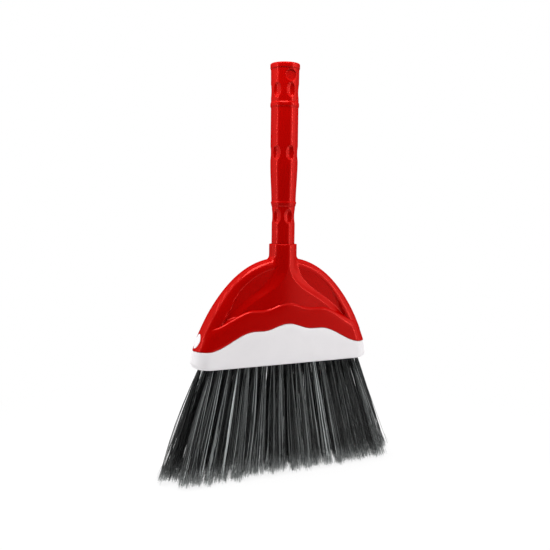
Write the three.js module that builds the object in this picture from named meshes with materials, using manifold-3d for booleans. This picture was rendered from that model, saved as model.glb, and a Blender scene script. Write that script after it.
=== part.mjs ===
// Hand broom: a short round handle pushed into the socket of a fan-shaped hood.
// The hood snaps over a tufted brush block with a wavy upper edge.
// Millimetres, +Z up, front towards -Y, origin below the handle on the plane of the bristle tips.
import * as THREE from "three";
import { mergeVertices } from "three/addons/utils/BufferGeometryUtils.js";
import Module from "manifold-3d";

const wasm = await Module();
wasm.setup();

// Driving dimensions: bristles
const TRIM_LENGTH = 109; // bristle tips to the underside of the block
const TIP_WIDTH = 256; // spread of the tips, side to side
const TIP_DEPTH = 48; // spread of the tips, front to back
const TUFT_PITCH = 9.1; // tuft to tuft along a row
const TUFT_ROOT_RADIUS = 1.8; // middle strand of a tuft to the ring of strands round it
const TUFT_TIP_RADIUS = 4.4; // the same at the tips, where the tufts open out
const STRANDS_IN_RING = 6;
const STRAND_RADIUS = 0.85; // corner of a three-sided strand to its middle
const ROW_NAMES = ["front", "middle", "back"];
const BACKING_THICKNESS = 2.2; // slice of backing that carries a row of tufts

// Driving dimensions: brush block
const BLOCK_WIDTH = 192; // at its widest, just above the end chamfers
const BLOCK_DEPTH = 30; // front to back, shared with the band of the hood
const BLOCK_SIDE = 17.4; // underside to the seam at the two ends
const END_LEAN = 2; // each end leans in by this from the chamfer to the seam
const END_CHAMFER = 5; // at the lower corner of each end
const EDGE_BEVEL = 2; // along the lower front and back edges
const PLATE_THICKNESS = 10; // tufted plate
const TUFT_LAND = 1; // bare rim of the underside round the tuft rows
const TONGUE_WALL = 2.2; // wall that stands up inside the hood

// Driving dimensions: wavy seam between block and hood
const SHOULDER_RISE = 17.1; // ends of the seam up to its shoulders
const SHOULDER_FOOT = 84; // from the middle to where the shoulders start to rise
const SHOULDER_HEAD = 36; // from the middle to where the shoulders are full
const CREST_RISE = 5.9; // shoulders up to the middle crest
const CREST_HALF = 27; // half the width of the middle crest

// Driving dimensions: hood
const HOOD_HEIGHT = 87; // seam at the ends to the foot of the collar
const ARCH_TOP_REACH = 36; // pull of the arch outline sideways from the collar
const ARCH_TOP_DROP = 5.5;
const ARCH_SIDE_REACH = 17; // pull of the arch outline upwards from the ends
const ARCH_SIDE_RISE = 46;
const BAND_HEIGHT = 21; // raised wavy band above the seam
const LEDGE_THICKNESS = 3; // top of the band, which sits on the tongue of the block
const LEDGE_EDGE = 3; // rounding of the upper edge of the band
const LEDGE_EDGE_END = 8; // height of that rounding at the ends of the band
const LEDGE_SLOPE = 0.4; // rise of the ledge from that edge to the face above it
const LEDGE_SLOPE_END = 3; // the same at the ends of the band
const LEDGE_NEAR = 42; // middle to where rounding and slope start to grow
const LEDGE_FAR = 80; // middle to where they have grown
const HOOD_WALL = 2.5;
const ARCH_FILLET = 2.5; // hollow between the arch and the collar
const PANEL_DEPTH = 9; // mid-plane to the panels beside the neck
const RIM_WIDTH_TOP = 9.2; // arch outline to the inner edge of its rim, beside the collar
const RIM_WIDTH_FOOT = 11.7; // the same where the rim meets the band
const RIM_ROUND = 0.94; // share of that width that is rounded
const RIM_POWER = 2.5; // squareness of the rounding
const RIM_STEP_TOP = 0.2; // rim in front of the panel, beside the collar
const RIM_STEP_FOOT = 3; // the same where the rim meets the band
const RIM_WALL_SLOPE = 1.9; // rise over width of the wall from the panel up to the rim
const STEP_HEAD = 62; // seam ends to where the rim starts to stand out
const STEP_FOOT = 30; // seam ends to where it stands out most
const NECK_LENGTH = 61.4; // collar to the lower end of the front edge of the neck
const NECK_REACH = 60; // middle to the lower end of that edge
const NECK_DROP = 33.4; // pull of the edge straight down from the collar
const NECK_SIDE_REACH = 30; // pull of the edge back from its lower end
const NECK_SIDE_RISE = 32;
const NECK_BLEND = 16; // collar to where the round neck is flat in front
const NECK_FALL = 1.5; // front of the neck falls back by this towards its sides
const NECK_FALL_REACH = 48; // middle to where it has fallen back
const FLANK_WIDTH = 13; // slope beside the front edge of the neck
const FLANK_HEAD = 18; // collar to where the flank starts to narrow
const FLANK_FOOT = 48; // collar to where the flank is narrow
const FLANK_END = 5; // flank where it is narrow
const FLANK_ROUND = 0.12; // share of the flank that is rounded at each edge
const COLLAR_WALL = 2;
const COLLAR_HEIGHT = 14.5;
const SOCKET_DEPTH = 50;
const SOCKET_FLOOR = 3;
const RIB_THICKNESS = 2; // gusset between the socket and the rim
const RIB_HEIGHT = 14;

// Driving dimensions: oval snap at each end
const SNAP_WIDTH = 11;
const SNAP_HEIGHT = 14;
const SNAP_RISE = 9.5; // seam to the middle of the snap

// Driving dimensions: handle and its end cap
const HANDLE_LENGTH = 170; // collar to the lip of the end cap
const SPIGOT_DIAMETER = 22.9; // handle where it enters the collar
const SPIGOT_TAPER = 0.8; // loss of radius over the depth of the socket
const GRIP_DIAMETER = 27;
const GRIP_START = 80; // collar to where the grip is full
const HEAD_DIAMETER = 27.8; // under the lip of the end cap
const BORE_DIAMETER = 17;
const RING_PROUD = 0.6; // rings stand out by this
const RING_HEIGHT = 6;
const LOWER_RING_RISE = 40.4; // collar to the lower ring
const UPPER_RING_DROP = 32.4; // lip to the upper ring
const DIMPLES_AROUND = 6;
const DIMPLE_WIDTH = 8.4;
const DIMPLE_HEIGHT = 14;
const DIMPLE_DEPTH = 1; // below the flat across the mouth of a dimple
const LOWER_DIMPLE_RISE = 27.4; // collar to the lower dimples
const MIDDLE_DIMPLE_RISE = 89; // collar to the middle dimples
const UPPER_DIMPLE_DROP = 21.2; // lip to the upper dimples
const RECESS_DIAMETER = 10; // shallow round recess, front and back
const RECESS_DROP = 6.9; // lip to the middle of the recess
const RECESS_DEPTH = 1.6;
const CAP_DIAMETER = 29;
const CAP_LIP = 5;
const CAP_EDGE = 1.2; // rounding of the lip
const PLUG_LENGTH = 18;

// Clearance between pieces that meet
const FIT_GAP = 0.3;

// Facets
const FACE_STEPS = 14; // middle of the face to where its end starts to turn
const TURN_STEPS = 6; // round a quarter of an end
const TURN_SHARE = 0.16; // share of the half width that the turn takes
const ARCH_LEVELS = 19; // levels from the band up to the collar
const LEVEL_CURVE = 1.6; // how much closer together the levels are near the collar
const INNER_LEVELS = 6; // the same inside the hood
const LEDGE_STEPS = 3; // round the upper edge of the band
const CURVE_STEPS = 60; // along the arch outline and the front edge of the neck
const ROUND_SEGMENTS = 36;
const OVAL_SEGMENTS = 20;
const REACH = 40; // how far a cutting tool runs past what it cuts

// Heights that follow from the driving dimensions
const seamEndZ = TRIM_LENGTH + BLOCK_SIDE;
const collarFootZ = seamEndZ + HOOD_HEIGHT;
const collarTopZ = collarFootZ + COLLAR_HEIGHT;
const socketFloorZ = collarTopZ - SOCKET_DEPTH;
const lipZ = collarTopZ + HANDLE_LENGTH;
const recessZ = lipZ - RECESS_DROP;
const ledgeRise = BAND_HEIGHT - LEDGE_THICKNESS;
const halfDepth = BLOCK_DEPTH / 2;
const seamHalfWidth = BLOCK_WIDTH / 2 - END_LEAN;
const spigotRadius = SPIGOT_DIAMETER / 2;
const collarRadius = spigotRadius + FIT_GAP + COLLAR_WALL;

// Small helpers
const mix = (a, b, share) => a + (b - a) * share;
const clamp01 = (value) => Math.min(1, Math.max(0, value));
const smooth = (value) => {
  const share = clamp01(value);
  return share * share * (3 - 2 * share);
};

// Distance from the middle, at a height between two points of a line
const mixAt = (upper, lower, z) => {
  const share = clamp01((upper.y - z) / Math.max(1e-6, upper.y - lower.y));
  return mix(upper.x, lower.x, share);
};

// Place at a distance and heading from another
const placeOnRing = (x, y, radius, heading) => {
  return [x + radius * Math.cos(heading), y + radius * Math.sin(heading)];
};

// Larger of two depths, with a fillet of about the given size where they meet
function filletedMax(a, b, fillet) {
  const share = clamp01(0.5 + (a - b) / (2 * fillet));
  return mix(b, a, share) + fillet * share * (1 - share);
}

// A closed geometry as a solid for joins and cuts
function toSolid(geometry) {
  const bare = new THREE.BufferGeometry();
  bare.setAttribute("position", geometry.getAttribute("position"));
  bare.setIndex(geometry.getIndex());
  const welded = mergeVertices(bare, 1e-4);
  const corners = welded.getIndex().array;
  const triangles = [];
  for (let i = 0; i < corners.length; i += 3) {
    const [a, b, c] = [corners[i], corners[i + 1], corners[i + 2]];
    if (a !== b && b !== c && c !== a) triangles.push(a, b, c);
  }
  const vertProperties = Float32Array.from(welded.getAttribute("position").array);
  const triVerts = Uint32Array.from(triangles);
  return new wasm.Manifold(new wasm.Mesh({ numProp: 3, vertProperties, triVerts }));
}

// A solid as a geometry again
function toGeometry(solid) {
  const { vertProperties, triVerts } = solid.getMesh();
  const geometry = new THREE.BufferGeometry();
  geometry.setAttribute("position", new THREE.BufferAttribute(new Float32Array(vertProperties), 3));
  geometry.setIndex(new THREE.BufferAttribute(new Uint32Array(triVerts), 1));
  geometry.computeVertexNormals();
  return geometry;
}

// Closed skin over a run of loops with equally many points, closed by a fan at both ends
function loft(loops) {
  const count = loops[0].length;
  const positions = [];
  const triangles = [];
  const middle = (loop) => {
    const sum = new THREE.Vector3();
    for (const point of loop) sum.add(point);
    return sum.divideScalar(count);
  };
  for (const loop of loops) {
    for (const point of loop) positions.push(point.x, point.y, point.z);
  }
  for (let level = 0; level + 1 < loops.length; level += 1) {
    for (let i = 0; i < count; i += 1) {
      const a = level * count + i;
      const b = level * count + ((i + 1) % count);
      triangles.push(a, b, b + count, a, b + count, a + count);
    }
  }
  const firstHub = loops.length * count;
  const lastLoop = firstHub - count;
  for (const hub of [middle(loops[0]), middle(loops[loops.length - 1])]) {
    positions.push(hub.x, hub.y, hub.z);
  }
  for (let i = 0; i < count; i += 1) {
    const next = (i + 1) % count;
    triangles.push(firstHub, next, i);
    triangles.push(firstHub + 1, lastLoop + i, lastLoop + next);
  }
  const geometry = new THREE.BufferGeometry();
  geometry.setAttribute("position", new THREE.Float32BufferAttribute(positions, 3));
  geometry.setIndex(triangles);
  return geometry;
}

// Solid of revolution about Z from a profile of radius and height
function revolve(profile, segments = ROUND_SEGMENTS) {
  const points = profile.map(([radius, height]) => new THREE.Vector2(radius, height));
  const geometry = new THREE.LatheGeometry(points, segments);
  geometry.rotateX(Math.PI / 2);
  return toSolid(geometry);
}

// Outline of a round-ended slot, half as wide and deep as given
function slotShape(halfWidth, halfHeight) {
  const shape = new THREE.Shape();
  const straight = halfWidth - halfHeight;
  shape.absarc(straight, 0, halfHeight, -Math.PI / 2, Math.PI / 2, false);
  shape.absarc(-straight, 0, halfHeight, Math.PI / 2, (3 * Math.PI) / 2, false);
  return shape;
}

// Round-ended slab lying flat between two heights
function slotSlab(halfWidth, halfHeight, bottomZ, topZ) {
  const options = { depth: topZ - bottomZ, bevelEnabled: false, curveSegments: OVAL_SEGMENTS / 2 };
  const geometry = new THREE.ExtrudeGeometry(slotShape(halfWidth, halfHeight), options);
  geometry.translate(0, 0, bottomZ);
  return toSolid(geometry);
}

// Box from its least to its greatest corner
function boxBetween(low, high) {
  const size = new THREE.Vector3().subVectors(high, low);
  const geometry = new THREE.BoxGeometry(size.x, size.y, size.z);
  const centre = new THREE.Vector3().addVectors(low, high).multiplyScalar(0.5);
  geometry.translate(centre.x, centre.y, centre.z);
  return toSolid(geometry);
}

// Height of the wavy seam at a distance from the middle
function seamZ(x) {
  const away = Math.abs(x);
  const shoulder = smooth((SHOULDER_FOOT - away) / (SHOULDER_FOOT - SHOULDER_HEAD));
  const crest = 0.5 + 0.5 * Math.cos(Math.PI * Math.min(1, away / CREST_HALF));
  return seamEndZ + SHOULDER_RISE * shoulder + CREST_RISE * crest;
}

// Sweep of the hood from the collar down to the right end of the seam
const archSweep = new THREE.CubicBezierCurve(
  new THREE.Vector2(collarRadius, collarFootZ),
  new THREE.Vector2(collarRadius + ARCH_TOP_REACH, collarFootZ - ARCH_TOP_DROP),
  new THREE.Vector2(seamHalfWidth - ARCH_SIDE_REACH, seamEndZ + ARCH_SIDE_RISE),
  new THREE.Vector2(seamHalfWidth, seamEndZ),
);

// Arch outline: the sweep with a small hollow where it leaves the collar
function archAt(share) {
  const point = archSweep.getPoint(share);
  const near = clamp01(1 - (point.x - collarRadius) / ARCH_FILLET);
  point.y += ARCH_FILLET * near * near;
  return point;
}

// Point of the arch, moved square to it towards the inside
function archPoint(share, inset) {
  const point = archAt(share);
  const before = archAt(Math.max(0, share - 0.001));
  const along = archAt(Math.min(1, share + 0.001)).sub(before).normalize();
  return new THREE.Vector2(point.x + along.y * inset, point.y - along.x * inset);
}

// Share of the arch, moved inwards, at which it comes down to a height
function archShare(height, inset) {
  let [low, high] = [0, 1];
  for (let step = 0; step < 30; step += 1) {
    const half = (low + high) / 2;
    if (archPoint(half, inset).y > height) low = half;
    else high = half;
  }
  return (low + high) / 2;
}

const archHalfWidthAt = (height) => archPoint(archShare(height, 0), 0).x;

// Front edge of the neck, from the collar down to its lower right end
const neckEdge = new THREE.CubicBezierCurve(
  new THREE.Vector2(0, collarFootZ),
  new THREE.Vector2(0, collarFootZ - NECK_DROP),
  new THREE.Vector2(NECK_REACH - NECK_SIDE_REACH, collarFootZ - NECK_LENGTH + NECK_SIDE_RISE),
  new THREE.Vector2(NECK_REACH, collarFootZ - NECK_LENGTH),
);

// Distance of a point of the face from a line of corners
function distanceTo(corners, x, z) {
  const point = new THREE.Vector3(x, z, 0);
  const nearest = new THREE.Vector3();
  let least = Infinity;
  for (let i = 0; i + 1 < corners.length; i += 1) {
    const [a, b] = [corners[i], corners[i + 1]];
    const edge = new THREE.Line3(new THREE.Vector3(a.x, a.y, 0), new THREE.Vector3(b.x, b.y, 0));
    edge.closestPointToPoint(point, true, nearest);
    least = Math.min(least, nearest.distanceTo(point));
  }
  return least;
}

const archCorners = Array.from({ length: CURVE_STEPS + 1 }, (_, i) => archAt(i / CURVE_STEPS));
const neckCorners = neckEdge.getPoints(CURVE_STEPS);

// Distance of a point of the face outside the front edge of the neck
function neckDistance(x, z) {
  const above = neckCorners.filter((corner) => corner.y >= z);
  const below = neckCorners[Math.min(above.length, CURVE_STEPS)];
  const edgeX = above.length > 0 ? mixAt(above[above.length - 1], below, z) : 0;
  return x <= edgeX ? 0 : distanceTo(neckCorners, x, Math.min(z, collarFootZ));
}

// Shares of the half width where the face is sampled, closer together round the end
const sampleShares = [];
for (let i = 0; i < FACE_STEPS; i += 1) {
  sampleShares.push(((1 - TURN_SHARE) * i) / FACE_STEPS);
}
for (let i = 0; i <= TURN_STEPS; i += 1) {
  sampleShares.push(1 - TURN_SHARE + TURN_SHARE * Math.sin((Math.PI / 2) * (i / TURN_STEPS)));
}

// Closed loop from points of the right front quarter, mirrored to the back and to the left
function loopFromQuarter(quarter) {
  const last = quarter.length - 1;
  const loop = quarter.map((p) => new THREE.Vector3(p.x, -p.depth, p.z));
  for (let i = last - 1; i >= 0; i -= 1) {
    loop.push(new THREE.Vector3(quarter[i].x, quarter[i].depth, quarter[i].z));
  }
  for (let i = 1; i <= last; i += 1) {
    loop.push(new THREE.Vector3(-quarter[i].x, quarter[i].depth, quarter[i].z));
  }
  for (let i = last - 1; i >= 1; i -= 1) {
    loop.push(new THREE.Vector3(-quarter[i].x, -quarter[i].depth, quarter[i].z));
  }
  return loop;
}

// Loop with flat faces and round ends whose height follows a function of x and of the turn
function roundEndLoop(halfWidth, depth, heightAt) {
  const turn = Math.min(depth, halfWidth);
  const quarter = sampleShares.map((share) => {
    const turned = clamp01((share - (1 - TURN_SHARE)) / TURN_SHARE);
    const onFace = share <= 1 - TURN_SHARE;
    const flat = ((halfWidth - turn) * share) / (1 - TURN_SHARE);
    const x = onFace ? flat : halfWidth - turn + turn * turned;
    const out = onFace ? depth : depth * Math.sqrt(1 - turned * turned);
    return { x, depth: out, z: heightAt(x, onFace ? 0 : turned) };
  });
  return loopFromQuarter(quarter);
}

// Loop of the band or of what lies inside it, a given rise above the seam
function bandLoop(rise, inset) {
  const halfWidth = archHalfWidthAt(seamEndZ + rise) - inset;
  return roundEndLoop(halfWidth, halfDepth - inset, (x) => seamZ(x) + rise);
}

// Depth of the panel, and of the rim that stands out of it towards the band
function rimDepth(x, z, inset) {
  const share = smooth((STEP_HEAD - (z - seamEndZ)) / (STEP_HEAD - STEP_FOOT));
  const step = mix(RIM_STEP_TOP, RIM_STEP_FOOT, share);
  const away = distanceTo(archCorners, x, z);
  const width = mix(RIM_WIDTH_TOP, RIM_WIDTH_FOOT, share);
  const outward = clamp01(1 - (away - inset) / (width * RIM_ROUND - inset));
  const rim = (PANEL_DEPTH + step - inset) * (1 - outward ** RIM_POWER) ** (1 / RIM_POWER);
  const wall = Math.max(0, away - width) * RIM_WALL_SLOPE;
  return rim - Math.min(step, wall);
}

// Straight ramp from 0 to 1 with rounded ends
function ramp(t) {
  const share = clamp01(t);
  const low = Math.min(share, 1 - share);
  const eased = low < FLANK_ROUND ? (low * low) / (2 * FLANK_ROUND) : low - FLANK_ROUND / 2;
  const near = eased / (1 - FLANK_ROUND);
  return share < 0.5 ? near : 1 - near;
}

// Distance of the front skin from the mid-plane above the band: the neck stands out of rim and panel
function faceDepth(x, z, inset) {
  const base = rimDepth(x, z, inset);
  const drop = Math.max(0, collarFootZ - z);
  const away = neckDistance(x, z);
  const around = clamp01(away / (collarRadius - inset));
  const round = filletedMax(base, (collarRadius - inset) * Math.sqrt(1 - around * around), 1);
  const narrowing = smooth((drop - FLANK_HEAD) / (FLANK_FOOT - FLANK_HEAD));
  const flank = mix(FLANK_WIDTH, FLANK_END, narrowing);
  const front = collarRadius - NECK_FALL * smooth(x / NECK_FALL_REACH) - inset;
  const flat = mix(front, base, ramp(away / flank));
  return mix(round, flat, smooth(drop / NECK_BLEND));
}

// Share of the way to the form that the ledge has at the ends of the band
function ledgeEndShare(x) {
  return smooth((Math.abs(x) - LEDGE_NEAR) / (LEDGE_FAR - LEDGE_NEAR));
}

// Loop of the face, at a share of the way from the collar down to its rises above the seam
function faceLoop(share, inset, middleRise, endRise) {
  const lowestShare = archShare(seamEndZ + endRise, inset);
  const top = archPoint(0, inset);
  const low = archPoint(lowestShare, inset);
  const end = archPoint(lowestShare * share, inset);
  const endLift = low.y - seamZ(low.x) - endRise;
  const quarter = sampleShares.map((s) => {
    const lowRise = mix(middleRise, endRise, ledgeEndShare(low.x * s));
    const lowZ = seamZ(low.x * s) + lowRise + endLift * s;
    const x = end.x * s;
    const z = mix(top.y, lowZ, share) + (end.y - mix(top.y, low.y, share)) * s;
    return { x, depth: s === 1 ? 0 : faceDepth(x, z, inset), z };
  });
  return loopFromQuarter(quarter);
}

// Loop round the upper edge of the band, turned by an angle from its face towards its ledge
function ledgeLoop(angle) {
  const lowering = 1 - Math.sin(angle);
  const halfWidth = archHalfWidthAt(seamEndZ + BAND_HEIGHT - LEDGE_EDGE_END * lowering);
  const depth = halfDepth - LEDGE_EDGE * (1 - Math.cos(angle));
  const loop = roundEndLoop(halfWidth, depth, (x) => {
    const height = mix(LEDGE_EDGE, LEDGE_EDGE_END, ledgeEndShare(x));
    return seamZ(x) + BAND_HEIGHT - height * lowering;
  });
  for (const point of loop) {
    const least = Math.min(faceDepth(Math.abs(point.x), point.z, 0), halfDepth);
    if (point.y !== 0) point.y = Math.sign(point.y) * Math.max(Math.abs(point.y), least);
  }
  return loop;
}

// Loop of the round collar
function collarLoop(height) {
  const quarter = sampleShares.map((s) => {
    return { x: collarRadius * s, depth: collarRadius * Math.sqrt(1 - s * s), z: height };
  });
  return loopFromQuarter(quarter);
}

// Oval bar across the whole head, for the snaps and their windows
function ovalBar(width, height) {
  const shape = new THREE.Shape();
  shape.absellipse(0, 0, width / 2, height / 2, 0, 2 * Math.PI, false);
  const length = BLOCK_WIDTH + REACH;
  const options = { depth: length, bevelEnabled: false, curveSegments: OVAL_SEGMENTS };
  const geometry = new THREE.ExtrudeGeometry(shape, options);
  geometry.translate(0, 0, -length / 2);
  geometry.rotateZ(Math.PI / 2);
  geometry.rotateY(Math.PI / 2);
  geometry.translate(0, 0, seamEndZ + SNAP_RISE);
  return toSolid(geometry);
}

// Radius of the handle inside the socket
function spigotRadiusAt(height) {
  return spigotRadius - (SPIGOT_TAPER * (collarTopZ - height)) / SOCKET_DEPTH;
}

// Hood: one moulded shell, open below, with the socket for the handle
function makeHood() {
  const loops = [];
  for (let level = 0; level <= INNER_LEVELS; level += 1) {
    loops.push(faceLoop(level / INNER_LEVELS, HOOD_WALL, ledgeRise, ledgeRise));
  }
  loops.push(bandLoop(ledgeRise, HOOD_WALL));
  loops.push(bandLoop(FIT_GAP, HOOD_WALL));
  loops.push(bandLoop(FIT_GAP, 0));
  loops.push(bandLoop(BAND_HEIGHT / 2, 0));
  for (let step = 0; step <= LEDGE_STEPS; step += 1) {
    loops.push(ledgeLoop((Math.PI / 2) * (step / LEDGE_STEPS)));
  }
  for (let level = 0; level <= ARCH_LEVELS; level += 1) {
    const share = Math.pow(1 - level / ARCH_LEVELS, LEVEL_CURVE);
    loops.push(faceLoop(share, 0, BAND_HEIGHT + LEDGE_SLOPE, BAND_HEIGHT + LEDGE_SLOPE_END));
  }
  loops.push(collarLoop(collarTopZ));
  const tubeRadius = collarRadius - FIT_GAP;
  const tube = revolve([
    [0, socketFloorZ - SOCKET_FLOOR],
    [tubeRadius, socketFloorZ - SOCKET_FLOOR],
    [tubeRadius, collarFootZ + ARCH_FILLET],
    [0, collarFootZ + ARCH_FILLET],
  ]);
  const bore = revolve([
    [0, socketFloorZ],
    [spigotRadiusAt(socketFloorZ) + FIT_GAP, socketFloorZ],
    [spigotRadiusAt(collarTopZ) + FIT_GAP, collarTopZ],
    [spigotRadiusAt(collarTopZ) + FIT_GAP, collarTopZ + REACH],
    [0, collarTopZ + REACH],
  ]);
  let hood = toSolid(loft(loops)).add(tube);
  for (const side of [-1, 1]) {
    const ribTop = socketFloorZ + RIB_HEIGHT;
    const reach = archHalfWidthAt(ribTop) - HOOD_WALL / 2;
    const [near, far] = [side * spigotRadius, side * reach];
    const low = new THREE.Vector3(Math.min(near, far), -RIB_THICKNESS / 2, socketFloorZ);
    const high = new THREE.Vector3(Math.max(near, far), RIB_THICKNESS / 2, ribTop);
    hood = hood.add(boxBetween(low, high));
  }
  return hood.subtract(bore).subtract(ovalBar(SNAP_WIDTH, SNAP_HEIGHT));
}

// Tuft field: the round-ended part of the underside that the rows share
const tuftField = {
  halfWidth: BLOCK_WIDTH / 2 - END_CHAMFER - TUFT_LAND,
  halfDepth: halfDepth - EDGE_BEVEL - TUFT_LAND,
};
const rowPitch = (2 * tuftField.halfDepth) / ROW_NAMES.length;
const tuftReach = TUFT_ROOT_RADIUS + STRAND_RADIUS;

// Brush block: tufted plate, outer wall up to the seam, tongue inside the hood and two oval snaps
function makeBlock() {
  const tongueInset = HOOD_WALL + FIT_GAP;
  const innerInset = tongueInset + TONGUE_WALL;
  const tongueTop = ledgeRise - FIT_GAP;
  const floorZ = TRIM_LENGTH + PLATE_THICKNESS;
  const widest = BLOCK_WIDTH / 2;
  const chamferZ = (x, turned) => TRIM_LENGTH + mix(EDGE_BEVEL, END_CHAMFER, turned * turned);
  const shell = toSolid(loft([
    roundEndLoop(widest - END_CHAMFER, halfDepth - EDGE_BEVEL, () => TRIM_LENGTH),
    roundEndLoop(widest, halfDepth, chamferZ),
    bandLoop(0, 0),
    bandLoop(0, tongueInset),
    bandLoop(tongueTop, tongueInset),
    bandLoop(tongueTop, innerInset),
    roundEndLoop(seamHalfWidth - innerInset, halfDepth - innerInset, () => floorZ),
  ]));
  const envelope = toSolid(loft([bandLoop(0, 0), bandLoop(BAND_HEIGHT / 2, 0), bandLoop(BAND_HEIGHT, 0)]));
  const core = archHalfWidthAt(seamEndZ + SNAP_RISE) - tongueInset - TONGUE_WALL / 2;
  const coreLow = new THREE.Vector3(-core, -BLOCK_DEPTH, 0);
  const coreHigh = new THREE.Vector3(core, BLOCK_DEPTH, collarTopZ);
  const ovals = ovalBar(SNAP_WIDTH - 2 * FIT_GAP, SNAP_HEIGHT - 2 * FIT_GAP);
  const snaps = ovals.intersect(envelope).subtract(boxBetween(coreLow, coreHigh));
  const pocketTop = TRIM_LENGTH + BACKING_THICKNESS + FIT_GAP;
  const pocket = slotSlab(tuftField.halfWidth, tuftField.halfDepth, TRIM_LENGTH - REACH, pocketTop);
  return shell.add(snaps).subtract(pocket);
}

// Places of the tufts along one row, as many as its length takes
function tuftPlaces(rowY) {
  const endRadius = tuftField.halfDepth - FIT_GAP;
  const room = Math.sqrt(Math.max(0, (endRadius - tuftReach) ** 2 - rowY ** 2));
  const limit = tuftField.halfWidth - FIT_GAP - endRadius + room;
  const places = [];
  for (let x = TUFT_PITCH / 2; x <= limit; x += TUFT_PITCH) {
    places.unshift(-x);
    places.push(x);
  }
  return places;
}

const rowLayouts = ROW_NAMES.map((name, index) => {
  const y = rowPitch * (index - (ROW_NAMES.length - 1) / 2);
  return { name, y, places: tuftPlaces(y) };
});
const tuftTipReach = TUFT_TIP_RADIUS + STRAND_RADIUS;
const outermostTuft = Math.max(...rowLayouts.map((row) => Math.max(...row.places)));
const outermostRow = Math.max(...rowLayouts.map((row) => row.y));
const tipScaleX = (TIP_WIDTH / 2 - tuftTipReach) / outermostTuft;
const tipScaleY = (TIP_DEPTH / 2 - tuftTipReach) / outermostRow;

// Straight three-sided strand of a tuft, from the backing to the plane of the tips
function strandGeometry(tuftX, tuftY, ring, heading) {
  const [rootX, rootY] = placeOnRing(tuftX, tuftY, ring * TUFT_ROOT_RADIUS, heading);
  const [tipX, tipY] = placeOnRing(tuftX * tipScaleX, tuftY * tipScaleY, ring * TUFT_TIP_RADIUS, heading);
  const rootZ = TRIM_LENGTH + BACKING_THICKNESS / 2;
  const triangleAt = (x, y, z) => [0, 1, 2].map((corner) => {
    const angle = heading + (corner * 2 * Math.PI) / 3;
    return new THREE.Vector3(...placeOnRing(x, y, STRAND_RADIUS, angle), z);
  });
  return loft([
    triangleAt(tipX, tipY, 0),
    triangleAt(rootX, rootY, TRIM_LENGTH),
    triangleAt(rootX, rootY, rootZ),
  ]);
}

// One row of tufts on its slice of backing
function makeTuftRow({ y, places }) {
  const [bottom, top] = [TRIM_LENGTH, TRIM_LENGTH + BACKING_THICKNESS];
  const field = slotSlab(tuftField.halfWidth - FIT_GAP, tuftField.halfDepth - FIT_GAP, bottom, top);
  const halfWidth = rowPitch / 2 - FIT_GAP / 2;
  const low = new THREE.Vector3(-BLOCK_WIDTH, y - halfWidth, bottom - 1);
  const high = new THREE.Vector3(BLOCK_WIDTH, y + halfWidth, top + 1);
  const solids = [field.intersect(boxBetween(low, high))];
  for (const x of places) {
    solids.push(toSolid(strandGeometry(x, y, 0, 0)));
    for (let i = 0; i < STRANDS_IN_RING; i += 1) {
      const heading = (i * 2 * Math.PI) / STRANDS_IN_RING;
      solids.push(toSolid(strandGeometry(x, y, 1, heading)));
    }
  }
  return wasm.Manifold.union(solids);
}

// Profile of a ring that stands out round the handle at a height
function ringProfile(height, radiusBelow, radiusAbove) {
  const proud = Math.max(radiusBelow, radiusAbove) + RING_PROUD;
  return [
    [radiusBelow, height - RING_HEIGHT / 2],
    [proud, height - RING_HEIGHT / 5],
    [proud, height + RING_HEIGHT / 5],
    [radiusAbove, height + RING_HEIGHT / 2],
  ];
}

// Outer radius of the handle from the collar up, without its rings
function gripRadiusAt(height) {
  const lowerRingZ = collarTopZ + LOWER_RING_RISE;
  const upperRingZ = lipZ - UPPER_RING_DROP;
  if (height <= lowerRingZ) return spigotRadius;
  if (height >= upperRingZ) {
    const share = (height - upperRingZ) / (lipZ - upperRingZ);
    return mix(GRIP_DIAMETER, HEAD_DIAMETER, share) / 2;
  }
  const swell = smooth((height - lowerRingZ) / (GRIP_START - LOWER_RING_RISE));
  return mix(spigotRadius + RING_PROUD, GRIP_DIAMETER / 2, swell);
}

// Slug that leaves the round recess in the front of the handle, or in its back
function recessSlug(side) {
  const floor = gripRadiusAt(recessZ) - RECESS_DEPTH;
  const radius = RECESS_DIAMETER / 2;
  const geometry = new THREE.CylinderGeometry(radius, radius, REACH, OVAL_SEGMENTS);
  geometry.translate(0, side * (floor + REACH / 2), recessZ);
  return toSolid(geometry);
}

// Scoop that leaves an oval dimple in the handle at a height and a heading
function dimpleScoop(height, heading) {
  const radius = gripRadiusAt(height);
  const across = DIMPLE_WIDTH / 2;
  const mouth = Math.sqrt(radius * radius - across * across);
  const geometry = new THREE.SphereGeometry(1, 12, 8);
  geometry.rotateX(Math.PI / 2);
  geometry.scale(2 * DIMPLE_DEPTH, across / Math.sqrt(0.75), DIMPLE_HEIGHT / 2);
  geometry.translate(mouth + DIMPLE_DEPTH, 0, height);
  geometry.rotateZ(heading);
  return toSolid(geometry);
}

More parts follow.
